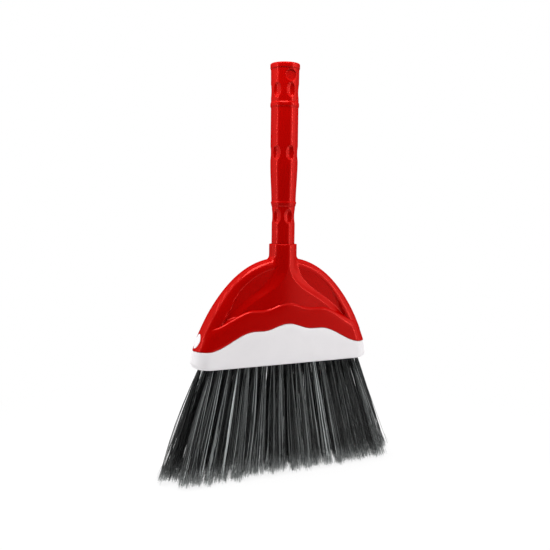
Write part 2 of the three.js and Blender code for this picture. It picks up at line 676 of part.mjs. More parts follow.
// Handle: hollow tube with a tapered spigot, two rings, rows of dimples and a round recess
function makeHandle() {
  const bottomZ = socketFloorZ + FIT_GAP;
  const topZ = lipZ - FIT_GAP;
  const bore = BORE_DIAMETER / 2;
  const lowerRingZ = collarTopZ + LOWER_RING_RISE;
  const upperRingZ = lipZ - UPPER_RING_DROP;
  const gripLevels = [0.25, 0.5, 0.75, 1].map((share) => {
    return mix(lowerRingZ + RING_HEIGHT / 2, collarTopZ + GRIP_START, share);
  });
  const belowRing = gripRadiusAt(upperRingZ - RING_HEIGHT / 2);
  const aboveRing = gripRadiusAt(upperRingZ + RING_HEIGHT / 2);
  const profile = [
    [bore, bottomZ],
    [spigotRadiusAt(bottomZ), bottomZ],
    [spigotRadius, collarTopZ],
    ...ringProfile(lowerRingZ, spigotRadius, gripRadiusAt(lowerRingZ + RING_HEIGHT / 2)),
    ...gripLevels.map((height) => [gripRadiusAt(height), height]),
    ...ringProfile(upperRingZ, belowRing, aboveRing),
    [gripRadiusAt(topZ), topZ],
    [bore, topZ],
    [bore, bottomZ],
  ];
  let handle = revolve(profile);
  const dimpleLevels = [
    collarTopZ + LOWER_DIMPLE_RISE,
    collarTopZ + MIDDLE_DIMPLE_RISE,
    lipZ - UPPER_DIMPLE_DROP,
  ];
  for (const height of dimpleLevels) {
    for (let i = 0; i < DIMPLES_AROUND; i += 1) {
      const heading = -Math.PI / 2 + (i * 2 * Math.PI) / DIMPLES_AROUND;
      handle = handle.subtract(dimpleScoop(height, heading));
    }
  }
  return handle.subtract(recessSlug(-1)).subtract(recessSlug(1));
}

// End cap: lip on top of the handle and a plug in its bore
function makeEndCap() {
  const lip = CAP_DIAMETER / 2;
  const plug = BORE_DIAMETER / 2 - FIT_GAP;
  return revolve([
    [0, lipZ - PLUG_LENGTH],
    [plug, lipZ - PLUG_LENGTH],
    [plug, lipZ],
    [lip - CAP_EDGE / 2, lipZ],
    [lip, lipZ + CAP_EDGE / 2],
    [lip, lipZ + CAP_LIP - CAP_EDGE],
    [lip - CAP_EDGE * 0.3, lipZ + CAP_LIP - CAP_EDGE * 0.3],
    [lip - CAP_EDGE, lipZ + CAP_LIP],
    [0, lipZ + CAP_LIP],
  ]);
}

// Materials
const redPlastic = { color: "#c40b08", roughness: 0.25, metalness: 0 };
const whitePlastic = { color: "#ebe9ec", roughness: 0.45, metalness: 0 };
const greyBristle = { color: "#3a3f40", roughness: 0.5, metalness: 0 };

// A named sub-part
function part(name, solid, finish) {
  const mesh = new THREE.Mesh(toGeometry(solid), new THREE.MeshStandardMaterial(finish));
  mesh.name = name;
  return mesh;
}

// Assembly
const broom = new THREE.Group();
broom.add(part("hood", makeHood(), redPlastic));
broom.add(part("brush_block", makeBlock(), whitePlastic));
for (const row of rowLayouts) {
  broom.add(part(`tuft_row_${row.name}`, makeTuftRow(row), greyBristle));
}
broom.add(part("handle", makeHandle(), redPlastic));
broom.add(part("handle_end_cap", makeEndCap(), redPlastic));

export default broom;
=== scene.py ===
"""Dresses the hand broom: fine mouldings, full bristle tufts, finishes, studio light and camera.

Sizes of the pieces are millimetres, those of the studio metres. Meshes are made in metres, in the frame of
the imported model.
"""

import logging
import math
from collections.abc import Callable, Sequence
from dataclasses import dataclass, field
from enum import Enum

import bpy
import numpy as np
from mathutils import Matrix, Vector


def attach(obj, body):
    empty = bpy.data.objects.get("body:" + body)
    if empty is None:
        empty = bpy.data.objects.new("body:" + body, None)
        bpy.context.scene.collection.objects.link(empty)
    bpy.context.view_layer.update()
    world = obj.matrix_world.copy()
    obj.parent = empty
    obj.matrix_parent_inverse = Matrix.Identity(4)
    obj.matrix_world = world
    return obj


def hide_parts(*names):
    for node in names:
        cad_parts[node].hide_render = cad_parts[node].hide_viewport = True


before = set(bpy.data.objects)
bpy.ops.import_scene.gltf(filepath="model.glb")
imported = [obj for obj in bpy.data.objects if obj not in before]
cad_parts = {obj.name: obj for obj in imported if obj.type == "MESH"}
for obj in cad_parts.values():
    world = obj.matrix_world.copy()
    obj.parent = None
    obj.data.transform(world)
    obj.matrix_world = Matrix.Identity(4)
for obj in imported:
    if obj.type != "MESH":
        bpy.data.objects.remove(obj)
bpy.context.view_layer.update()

MM = 0.001  # metres in a millimetre
PHOTO_WIDTH = 550  # pixels across the picture
SHARP_ANGLE = math.radians(38)  # edges that turn more than this stay crisp
LOCK_TONE_AND_SHEEN = "lock_tone_and_sheen"  # mesh attribute: paleness of each lock, random tone and painted highlight
ROUND_STEPS = 96  # corners of a plain round section
EDGE_STEPS = 4  # loops over a small rounded edge
WELL_CLEAR = 9.0  # mm past a skin that a cut has to miss

log = logging.getLogger("hand_broom")

Loop = np.ndarray
Face = tuple[int, ...]


class Body(Enum):
    """Bodies of the frame that the pieces ride on."""

    HEAD = "head"
    HANDLE = "handle"


class Slot(Enum):
    """Material slots of the record."""

    RED = "red_plastic"
    WHITE = "white_plastic"
    BRISTLE = "bristle"


class Solid(Enum):
    """Ways to combine two closed meshes."""

    JOIN = "UNION"
    CUT = "DIFFERENCE"
    COMMON = "INTERSECT"


def linear(colour: str) -> tuple[float, float, float, float]:
    """Turns an sRGB hex colour into linear light.

    Args:
        colour: six hex digits after a hash.

    Returns:
        Red, green, blue and full alpha.
    """
    shares = [int(colour[i : i + 2], 16) / 255 for i in (1, 3, 5)]
    light = [s / 12.92 if s <= 0.04045 else ((s + 0.055) / 1.055) ** 2.4 for s in shares]
    return (*light, 1.0)


def add_node(
    tree: bpy.types.NodeTree, kind: str, inputs: dict | None = None, **settings
) -> bpy.types.Node:
    """Adds a node with its settings and links.

    Args:
        tree: tree that takes the node.
        kind: Blender's name for the type of node.
        inputs: a value or an output socket for each input, by name or number.
        settings: properties of the node itself.

    Returns:
        The new node.
    """
    node = tree.nodes.new(kind)
    for name, value in settings.items():
        setattr(node, name, value)
    for key, value in (inputs or {}).items():
        if isinstance(value, bpy.types.NodeSocket):
            tree.links.new(value, node.inputs[key])
        else:
            node.inputs[key].default_value = value
    return node


def new_material(name: str) -> tuple[bpy.types.Material, bpy.types.NodeTree]:
    """Makes an empty node material.

    Args:
        name: name of the material.

    Returns:
        The material and its tree.
    """
    material = bpy.data.materials.new(name)
    material.use_nodes = True
    material.node_tree.nodes.clear()
    return material, material.node_tree


def smooth(value: np.ndarray | float) -> np.ndarray:
    """Smooth step from 0 to 1 as the value goes from 0 to 1."""
    share = np.clip(value, 0.0, 1.0)
    return share * share * (3 - 2 * share)


def mix(a: np.ndarray | float, b: np.ndarray | float, share: np.ndarray | float) -> np.ndarray:
    """Value at a share of the way from one to another."""
    return a + (b - a) * share


def ramp(t: np.ndarray, rounded: float) -> np.ndarray:
    """Straight ramp from 0 to 1 with rounded ends.

    Args:
        t: shares of the way, which may lie outside 0 to 1.
        rounded: share of the way that is rounded at each end.

    Returns:
        Values from 0 to 1.
    """
    share = np.clip(t, 0, 1)
    low = np.minimum(share, 1 - share)
    near = np.where(low < rounded, low**2 / (2 * rounded), low - rounded / 2) / (1 - rounded)
    return np.where(share < 0.5, near, 1 - near)


def bezier(corners: Sequence[tuple[float, float]], share: np.ndarray | float) -> np.ndarray:
    """Points of a cubic curve.

    Args:
        corners: its four corners.
        share: ways along it.

    Returns:
        Points, along the last axis.
    """
    share = np.asarray(share, dtype=float)[..., None]
    rest = 1 - share
    weights = (rest**3, 3 * rest * rest * share, 3 * rest * share * share, share**3)
    return sum(weight * np.array(corner) for weight, corner in zip(weights, corners))


def distance_to(line: np.ndarray, x: np.ndarray, z: np.ndarray) -> np.ndarray:
    """Distance of points of a face from a line of corners.

    Args:
        line: corners of the line.
        x: distances of the points from the middle.
        z: heights of the points.

    Returns:
        Distances.
    """
    start, step = line[:-1], np.diff(line, axis=0)
    point = np.column_stack([x, z])[:, None, :] - start
    along = np.clip((point * step).sum(2) / (step * step).sum(1), 0, 1)
    return np.linalg.norm(point - along[:, :, None] * step, axis=2).min(1)


def filleted_max(a: np.ndarray, b: np.ndarray, fillet: float) -> np.ndarray:
    """Larger of two depths, with a fillet of about the given size where they meet."""
    share = np.clip(0.5 + (a - b) / (2 * fillet), 0, 1)
    return b + (a - b) * share + fillet * share * (1 - share)


def loft(loops: Sequence[Loop], ring: bool = False) -> tuple[np.ndarray, list[Face]]:
    """Lays a closed skin over loops with equally many points.

    Args:
        loops: points in millimetres, each loop anticlockwise seen from above.
        ring: whether the last loop joins the first, and not a face over each end.

    Returns:
        Points and faces.
    """
    count = len(loops[0])
    total = len(loops)
    faces: list[Face] = []
    for level in range(total if ring else total - 1):
        low, high = level * count, ((level + 1) % total) * count
        for i in range(count):
            j = (i + 1) % count
            faces.append((low + i, low + j, high + j, high + i))
    if not ring:
        last = (total - 1) * count
        faces.append(tuple(range(count - 1, -1, -1)))
        faces.append(tuple(range(last, last + count)))
    return np.vstack(loops), faces


def circle(radius: np.ndarray | float, height: float, count: int) -> Loop:
    """Points round the handle axis, anticlockwise from the front.

    Args:
        radius: one radius, or one for each point.
        height: height of the points.
        count: how many points.

    Returns:
        Closed loop of points.
    """
    turn = np.arange(count) * 2 * math.pi / count - math.pi / 2
    radius = np.broadcast_to(radius, (count,))
    return np.column_stack([radius * np.cos(turn), radius * np.sin(turn), np.full(count, height)])


def make_piece(name: str, points: np.ndarray, faces: Sequence[Face]) -> bpy.types.Object:
    """Makes a smooth mesh object.

    Args:
        name: name of the piece.
        points: places in millimetres.
        faces: corners of each face.

    Returns:
        The object, in metres.
    """
    mesh = bpy.data.meshes.new(name)
    mesh.from_pydata((points * MM).tolist(), [], faces)
    mesh.validate()
    piece = bpy.data.objects.new(name, mesh)
    bpy.context.scene.collection.objects.link(piece)
    return piece


def combine(piece: bpy.types.Object, tool: bpy.types.Object, how: Solid) -> None:
    """Joins or cuts a piece with a tool mesh, and takes the tool away.

    Args:
        piece: closed mesh that stays.
        tool: closed mesh that goes.
        how: what is done with the two.
    """
    step = piece.modifiers.new(how.name, "BOOLEAN")
    step.object = tool
    step.operation = how.value
    step.solver = "MANIFOLD"
    bpy.context.view_layer.update()
    ready = piece.evaluated_get(bpy.context.evaluated_depsgraph_get())
    old, piece_mesh = piece.data, bpy.data.meshes.new_from_object(ready)
    piece.modifiers.clear()
    piece.data = piece_mesh
    bpy.data.objects.remove(tool)
    bpy.data.meshes.remove(old)


def crisp(piece: bpy.types.Object) -> None:
    """Shades a piece smooth, with its sharp edges kept."""
    piece.data.shade_smooth()
    piece.data.set_sharp_from_angle(angle=SHARP_ANGLE)


def settle(
    piece: bpy.types.Object, material: bpy.types.Material, body: Body, node: str
) -> bpy.types.Object:
    """Gives a piece its finish, its body and the node that it stands for.

    Args:
        piece: finished mesh object.
        material: its finish.
        body: body that it rides on.
        node: node of the frame that it replaces.

    Returns:
        The piece.
    """
    piece.data.materials.clear()
    piece.data.materials.append(material)
    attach(piece, body.value)
    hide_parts(node)
    log.info("%s: %d faces on %s", piece.name, len(piece.data.polygons), body.value)
    return piece


@dataclass(frozen=True)
class MouldedPolypropylene:
    """Polypropylene, injection moulded in a steel tool.

    The pigment is mixed into the melt, so the colour is even, with faint flow clouds. The tool's own surface
    is copied: polished steel leaves gloss with a slight ripple, spark-eroded steel leaves a fine satin grain.
    The skin mirrors a set share of the light, tinted where strong pigment lies right under it.
    """

    name: str
    colour: str
    cloud_colour: str  # where the flow of the melt thinned the pigment
    worn_colour: str  # along edges that are handled
    polish: float  # roughness where the tool was smoothest
    rub: float  # roughness where hands and cloths have dulled it
    grain: float  # spacing of the ripple or grain, mm
    grain_height: float  # mm
    cloud: float = 32.0  # size of the flow clouds, mm
    cloud_span: tuple[float, float] = (0.35, 0.75)  # noise between which a cloud fades in
    edge_span: tuple[float, float] = (0.53, 0.62)  # pointiness between which an edge is worn
    edge_share: float = 0.5  # how far the worn colour covers an edge
    scuff: float = 7.0  # size of the dulled patches, mm
    scuff_span: tuple[float, float] = (0.35, 0.7)  # noise between which a patch is dulled
    speck: float = 9.0  # spacing of small dust specks, mm
    speck_span: tuple[float, float] = (0.03, 0.05)  # radius of a speck and of its edge, in spacings
    speck_share: float = 0.35  # how far the worn colour shows in a speck
    mirror: float = 0.04  # share of the light that its skin mirrors
    glint: str = "#ffffff"  # colour of what is mirrored

    def material(self) -> bpy.types.Material:
        """Builds the node material.

        Returns:
            The material.
        """
        cloud_from, cloud_to = self.cloud_span
        edge_from, edge_to = self.edge_span
        scuff_from, scuff_to = self.scuff_span
        speck_from, speck_to = self.speck_span
        material, tree = new_material(self.name)
        place = add_node(tree, "ShaderNodeTexCoord").outputs["Object"]
        clouds = add_node(
            tree,
            "ShaderNodeTexNoise",
            {"Vector": place, "Scale": 1 / (self.cloud * MM), "Detail": 3.0, "Distortion": 0.6},
        )
        cloud_share = add_node(
            tree, "ShaderNodeMapRange", {0: clouds.outputs["Fac"], 1: cloud_from, 2: cloud_to}
        )
        base = add_node(
            tree,
            "ShaderNodeMix",
            {0: cloud_share.outputs[0], 6: linear(self.colour), 7: linear(self.cloud_colour)},
            data_type="RGBA",
        )
        shape = add_node(tree, "ShaderNodeNewGeometry")
        edge = add_node(
            tree,
            "ShaderNodeMapRange",
            {0: shape.outputs["Pointiness"], 1: edge_from, 2: edge_to, 4: self.edge_share},
        )
        worn = add_node(
            tree,
            "ShaderNodeMix",
            {0: edge.outputs[0], 6: base.outputs[2], 7: linear(self.worn_colour)},
            data_type="RGBA",
        )
        specks = add_node(
            tree, "ShaderNodeTexVoronoi", {"Vector": place, "Scale": 1 / (self.speck * MM)}
        )
        near_speck = add_node(
            tree,
            "ShaderNodeMapRange",
            {0: specks.outputs["Distance"], 1: speck_from, 2: speck_to, 3: self.speck_share, 4: 0.0},
        )
        finished = add_node(
            tree,
            "ShaderNodeMix",
            {0: near_speck.outputs[0], 6: worn.outputs[2], 7: linear(self.worn_colour)},
            data_type="RGBA",
        )
        scuffs = add_node(
            tree,
            "ShaderNodeTexNoise",
            {"Vector": place, "Scale": 1 / (self.scuff * MM), "Detail": 4.0, "Roughness": 0.6},
        )
        dulled = add_node(
            tree,
            "ShaderNodeMapRange",
            {0: scuffs.outputs["Fac"], 1: scuff_from, 2: scuff_to, 3: self.polish, 4: self.rub},
        )
        grain = add_node(
            tree,
            "ShaderNodeTexNoise",
            {"Vector": place, "Scale": 1 / (self.grain * MM), "Detail": 2.0},
        )
        ripple = add_node(
            tree,
            "ShaderNodeBump",
            {"Height": grain.outputs["Fac"], "Distance": self.grain_height * MM, "Strength": 1.0},
        )
        shader = add_node(
            tree,
            "ShaderNodeBsdfPrincipled",
            {
                "Base Color": finished.outputs[2],
                "Roughness": dulled.outputs[0],
                "Specular IOR Level": 0.0,  # the skin below carries the whole reflection
            },
        )
        skin = add_node(
            tree,
            "ShaderNodeBsdfAnisotropic",
            {
                "Color": linear(self.glint),
                "Roughness": dulled.outputs[0],
                "Normal": ripple.outputs["Normal"],
            },
        )
        both = add_node(
            tree, "ShaderNodeMixShader", {0: self.mirror, 1: shader.outputs[0], 2: skin.outputs[0]}
        )
        add_node(tree, "ShaderNodeOutputMaterial", {"Surface": both.outputs[0]})
        return material


@dataclass(frozen=True)
class DrawnFilament:
    """Polyester bristle, extruded and drawn to a fine filament.

    Drawing leaves a smooth skin, so each filament carries a thin bright line along its length. Each lock is
    painted paler or darker between a near-black and a near-white colour: partly random tone, partly a painted
    highlight of locks that catch the light. The cut and split tips scatter light, so they look paler and
    duller. Filaments near the mid-plane are painted darker along their whole length, as painted shade between
    the tufts.
    """

    name: str
    dark: str
    # near white: the painted highlight of pale locks
    light: str
    tip: str
    roughness: float
    tip_roughness: float
    flagged: float  # height over which the tips are split, mm
    tip_cover: float = 0.8  # how far the tip colour covers a fully split tip
    least_split: float = 0.15  # the same for the least split tip, as a share
    least_shade: float = 0.45  # darkest filament of a lock, as a share of the palest
    inside: float = 3.5  # mid-plane to where the painted shade inside begins to lift, at the block, mm
    outside: float = 8.5  # mid-plane to where the painted shade ends, mm
    # light share that the painted shade leaves at the mid-plane
    painted_inside_light: float = 0.12
    length: float = 109.0  # block to tips, mm
    flare: float = 1.42  # width at the tips over width at the block
    ior: float = 1.57

    def material(self) -> bpy.types.Material:
        """Builds the node material.

        Returns:
            The material.
        """
        material, tree = new_material(self.name)
        shape = add_node(tree, "ShaderNodeNewGeometry")
        place = add_node(tree, "ShaderNodeTexCoord").outputs["Object"]
        parts = add_node(tree, "ShaderNodeSeparateXYZ", {0: place}).outputs
        height = parts["Z"]
        tip_share = add_node(
            tree,
            "ShaderNodeMapRange",
            {0: height, 1: 0.0, 2: self.flagged * MM, 3: self.tip_cover, 4: 0.0},
            interpolation_type="SMOOTHSTEP",
        )
        # paleness of each lock: partly random tone, partly painted highlight
        lock = add_node(tree, "ShaderNodeAttribute", attribute_name=LOCK_TONE_AND_SHEEN)
        lot = add_node(
            tree,
            "ShaderNodeMapRange",
            {0: shape.outputs["Random Per Island"], 3: self.least_shade, 4: 1.0},
        )
        # Painted shade: depth narrowed back to that at the block, so that the rows inside are painted
        # dark along their whole length
        opened = add_node(
            tree,
            "ShaderNodeMapRange",
            {0: height, 1: 0.0, 2: self.length * MM, 3: self.flare, 4: 1.0},
        )
        depth = add_node(
            tree, "ShaderNodeMath", {0: parts["Y"], 1: opened.outputs[0]}, operation="DIVIDE"
        )
        from_middle = add_node(tree, "ShaderNodeMath", {0: depth.outputs[0]}, operation="ABSOLUTE")
        # painted shade: filaments near the mid-plane are painted darker
        painted_inner_shade = add_node(
            tree,
            "ShaderNodeMapRange",
            {
                0: from_middle.outputs[0],
                1: self.inside * MM,
                2: self.outside * MM,
                3: self.painted_inside_light,
                4: 1.0,
            },
        )
        shade = add_node(
            tree, "ShaderNodeMath", {0: lock.outputs["Fac"], 1: lot.outputs[0]}, operation="MULTIPLY"
        )
        # painted light: paleness of the lock, held down by the painted shade
        lit = add_node(
            tree, "ShaderNodeMath", {0: shade.outputs[0], 1: painted_inner_shade.outputs[0]}, operation="MULTIPLY"
        )
        split = add_node(
            tree,
            "ShaderNodeMapRange",
            {0: shape.outputs["Random Per Island"], 3: self.least_split, 4: 1.0},
        )
        paled = add_node(
            tree, "ShaderNodeMath", {0: tip_share.outputs[0], 1: split.outputs[0]}, operation="MULTIPLY"
        )
        # near-black to near-white by random tone, painted highlight and painted shade
        tone_and_painted_light = add_node(
            tree,
            "ShaderNodeMix",
            {0: lit.outputs[0], 6: linear(self.dark), 7: linear(self.light)},
            data_type="RGBA",
        )
        ends = add_node(
            tree,
            "ShaderNodeMix",
            {0: paled.outputs[0], 6: tone_and_painted_light.outputs[2], 7: linear(self.tip)},
            data_type="RGBA",
        )
        gloss = add_node(
            tree,
            "ShaderNodeMapRange",
            {0: tip_share.outputs[0], 3: self.roughness, 4: self.tip_roughness},
        )
        shader = add_node(
            tree,
            "ShaderNodeBsdfPrincipled",
            {"Base Color": ends.outputs[2], "Roughness": gloss.outputs[0], "IOR": self.ior},
        )
        add_node(tree, "ShaderNodeOutputMaterial", {"Surface": shader.outputs[0]})
        return material


RED_GLOSS = MouldedPolypropylene(
    name="polypropylene_red_polished_mould",
    colour="#aa0402",
    cloud_colour="#a60302",
    worn_colour="#b60a06",
    polish=0.11,
    rub=0.17,
    grain=2.6,  # true ripple is under a millimetre, drawn coarser so that it shows
    grain_height=0.012,
    mirror=0.1,
    glint="#ff554e",
)
WHITE_SATIN = MouldedPolypropylene(
    name="polypropylene_white_satin_mould",
    colour="#e7e4e6",
    cloud_colour="#e2dfe1",
    worn_colour="#e9e7e9",
    polish=0.42,
    rub=0.52,
    grain=0.9,  # true grain is about a third of a millimetre, drawn coarser so that it shows
    grain_height=0.02,
)
CHARCOAL_FILAMENT = DrawnFilament(
    name="polyester_charcoal_drawn_filament",
    dark="#101313",
    # near white, for the painted highlight of pale locks
    light="#f2f8f7",
    tip="#dfe4e3",
    roughness=0.28,
    tip_roughness=0.6,
    flagged=23.0,
)


@dataclass
class HeadForm:
    """Outlines that the hood and the brush block share: wavy seam, arch and round ends."""

    trim_length: float = 109.0
    block_width: float = 192.0
    block_depth: float = 30.0
    block_side: float = 17.4
    end_lean: float = 2.0
    shoulder_rise: float = 17.1
    shoulder_foot: float = 84.0
    shoulder_head: float = 36.0
    crest_rise: float = 5.9
    crest_half: float = 27.0
    hood_height: float = 87.0
    arch_top_reach: float = 36.0
    arch_top_drop: float = 5.5
    arch_side_reach: float = 17.0
    arch_side_rise: float = 46.0
    arch_fillet: float = 2.5
    collar_radius: float = 13.75
    band_height: float = 21.0
    ledge_thickness: float = 3.0
    wall: float = 2.5
    fit_gap: float = 0.3
    face_steps: int = 96
    turn_steps: int = 26
    turn_share: float = 0.16
    arch_segments: int = 400
    arch_crowding: float = 1.5  # above 1 the samples of the arch lie closer near the collar
    arch_nudge: float = 0.001  # share of the arch over which its direction is taken
    halvings: int = 30  # tries to find a height on the arch
    oval_steps: int = 72
    shares: np.ndarray = field(init=False)
    outline: np.ndarray = field(init=False)

    def __post_init__(self) -> None:
        """Samples the half width of the face and the arch outline."""
        flat = (1 - self.turn_share) * np.arange(self.face_steps) / self.face_steps
        turn = np.sin(np.linspace(0, math.pi / 2, self.turn_steps + 1))
        self.shares = np.concatenate([flat, 1 - self.turn_share + self.turn_share * turn])
        self.outline = self.arch_at(np.linspace(0, 1, self.arch_segments + 1) ** self.arch_crowding)

    @property
    def seam_end(self) -> float:
        """Height of the seam at the two ends."""
        return self.trim_length + self.block_side

    @property
    def collar_foot(self) -> float:
        """Height where the arch meets the collar."""
        return self.seam_end + self.hood_height

    @property
    def half_depth(self) -> float:
        """Mid-plane to the face of the band."""
        return self.block_depth / 2

    @property
    def seam_half(self) -> float:
        """Half the length of the seam."""
        return self.block_width / 2 - self.end_lean

    @property
    def ledge_rise(self) -> float:
        """Seam to the underside of the ledge."""
        return self.band_height - self.ledge_thickness

    def seam(self, x: np.ndarray) -> np.ndarray:
        """Height of the wavy seam.

        Args:
            x: distances from the middle.

        Returns:
            Heights.
        """
        away = np.abs(x)
        shoulder = smooth((self.shoulder_foot - away) / (self.shoulder_foot - self.shoulder_head))
        crest = 0.5 + 0.5 * np.cos(math.pi * np.minimum(1, away / self.crest_half))
        return self.seam_end + self.shoulder_rise * shoulder + self.crest_rise * crest

    def arch_at(self, share: np.ndarray | float) -> np.ndarray:
        """Arch outline from the collar to the end of the seam, with a small hollow at the collar.

        Args:
            share: ways along the arch.

        Returns:
            Distance from the middle and height, along the last axis.
        """
        corners = (
            (self.collar_radius, self.collar_foot),
            (self.collar_radius + self.arch_top_reach, self.collar_foot - self.arch_top_drop),
            (self.seam_half - self.arch_side_reach, self.seam_end + self.arch_side_rise),
            (self.seam_half, self.seam_end),
        )
        point = bezier(corners, np.clip(share, 0, 1))
        near = np.clip(1 - (point[..., 0] - self.collar_radius) / self.arch_fillet, 0, 1)
        point[..., 1] += self.arch_fillet * near * near
        return point

    def arch_point(self, share: float, inset: float) -> np.ndarray:
        """Point of the arch, moved square to it towards the inside.

        Args:
            share: way along the arch from the collar to the end of the seam.
            inset: distance inwards.

        Returns:
            Distance from the middle and height.
        """
        along = self.arch_at(share + self.arch_nudge) - self.arch_at(share - self.arch_nudge)
        along /= np.linalg.norm(along)
        return self.arch_at(share) + inset * np.array([along[1], -along[0]])

    def arch_share(self, height: float, inset: float) -> float:
        """Share of the arch, moved inwards, at which it comes down to a height.

        Args:
            height: height to find.
            inset: distance inwards.

        Returns:
            Way along the arch.
        """
        low, high = 0.0, 1.0
        for _ in range(self.halvings):
            half = (low + high) / 2
            if self.arch_point(half, inset)[1] > height:
                low = half
            else:
                high = half
        return (low + high) / 2

    def arch_half_width(self, height: np.ndarray | float) -> np.ndarray:
        """Half the width of the arch at heights."""
        return np.interp(-np.asarray(height), -self.outline[:, 1], self.outline[:, 0])

    @staticmethod
    def mirrored(x: np.ndarray, depth: np.ndarray, z: np.ndarray) -> Loop:
        """Mirrors the right front quarter of a loop to the back and to the left.

        Args:
            x: distances from the middle.
            depth: distances from the mid-plane.
            z: heights.

        Returns:
            Closed loop of points.
        """
        front = np.column_stack([x, -depth, z])
        back = np.column_stack([x, depth, z])[-2::-1]
        left_back = np.column_stack([-x, depth, z])[1:]
        left_front = np.column_stack([-x, -depth, z])[-2:0:-1]
        return np.vstack([front, back, left_back, left_front])

    def round_end_loop(
        self, half_width: float, depth: float, height_at: Callable[[np.ndarray, np.ndarray], np.ndarray]
    ) -> Loop:
        """Loop with flat faces and full round ends.

        Args:
            half_width: middle to the end.
            depth: mid-plane to the face.
            height_at: height from the distance to the middle and the share of the turn.

        Returns:
            Closed loop of points.
        """
        turn = min(depth, half_width)
        flat_share = 1 - self.turn_share
        on_face = self.shares <= flat_share
        turned = np.where(on_face, 0, (self.shares - flat_share) / self.turn_share)
        turned = np.clip(turned, 0, 1)
        flat_x = (half_width - turn) * self.shares / flat_share
        x = np.where(on_face, flat_x, half_width - turn + turn * turned)
        return self.mirrored(x, depth * np.sqrt(1 - turned * turned), height_at(x, turned))

    def band_loop(self, rise: float, inset: float) -> Loop:
        """Loop of the band, or of what lies inside it, at a rise above the seam."""
        half_width = self.arch_half_width(self.seam_end + rise) - inset
        depth = self.half_depth - inset
        return self.round_end_loop(half_width, depth, lambda x, _: self.seam(x) + rise)

    def oval_bar(self, width: float, height: float, rise: float) -> bpy.types.Object:
        """Oval bar across the whole head, for the snaps and their windows.

        Args:
            width: front to back.
            height: height of the oval.
            rise: its middle above the end of the seam.

        Returns:
            The bar, to combine with a piece.
        """
        steps = self.oval_steps
        turn = np.arange(steps) * 2 * math.pi / steps
        y, z = width / 2 * np.cos(turn), self.seam_end + rise + height / 2 * np.sin(turn)
        ends = (-self.block_width, self.block_width)
        return make_piece("oval_bar", *loft([np.column_stack([np.full(steps, x), y, z]) for x in ends]))


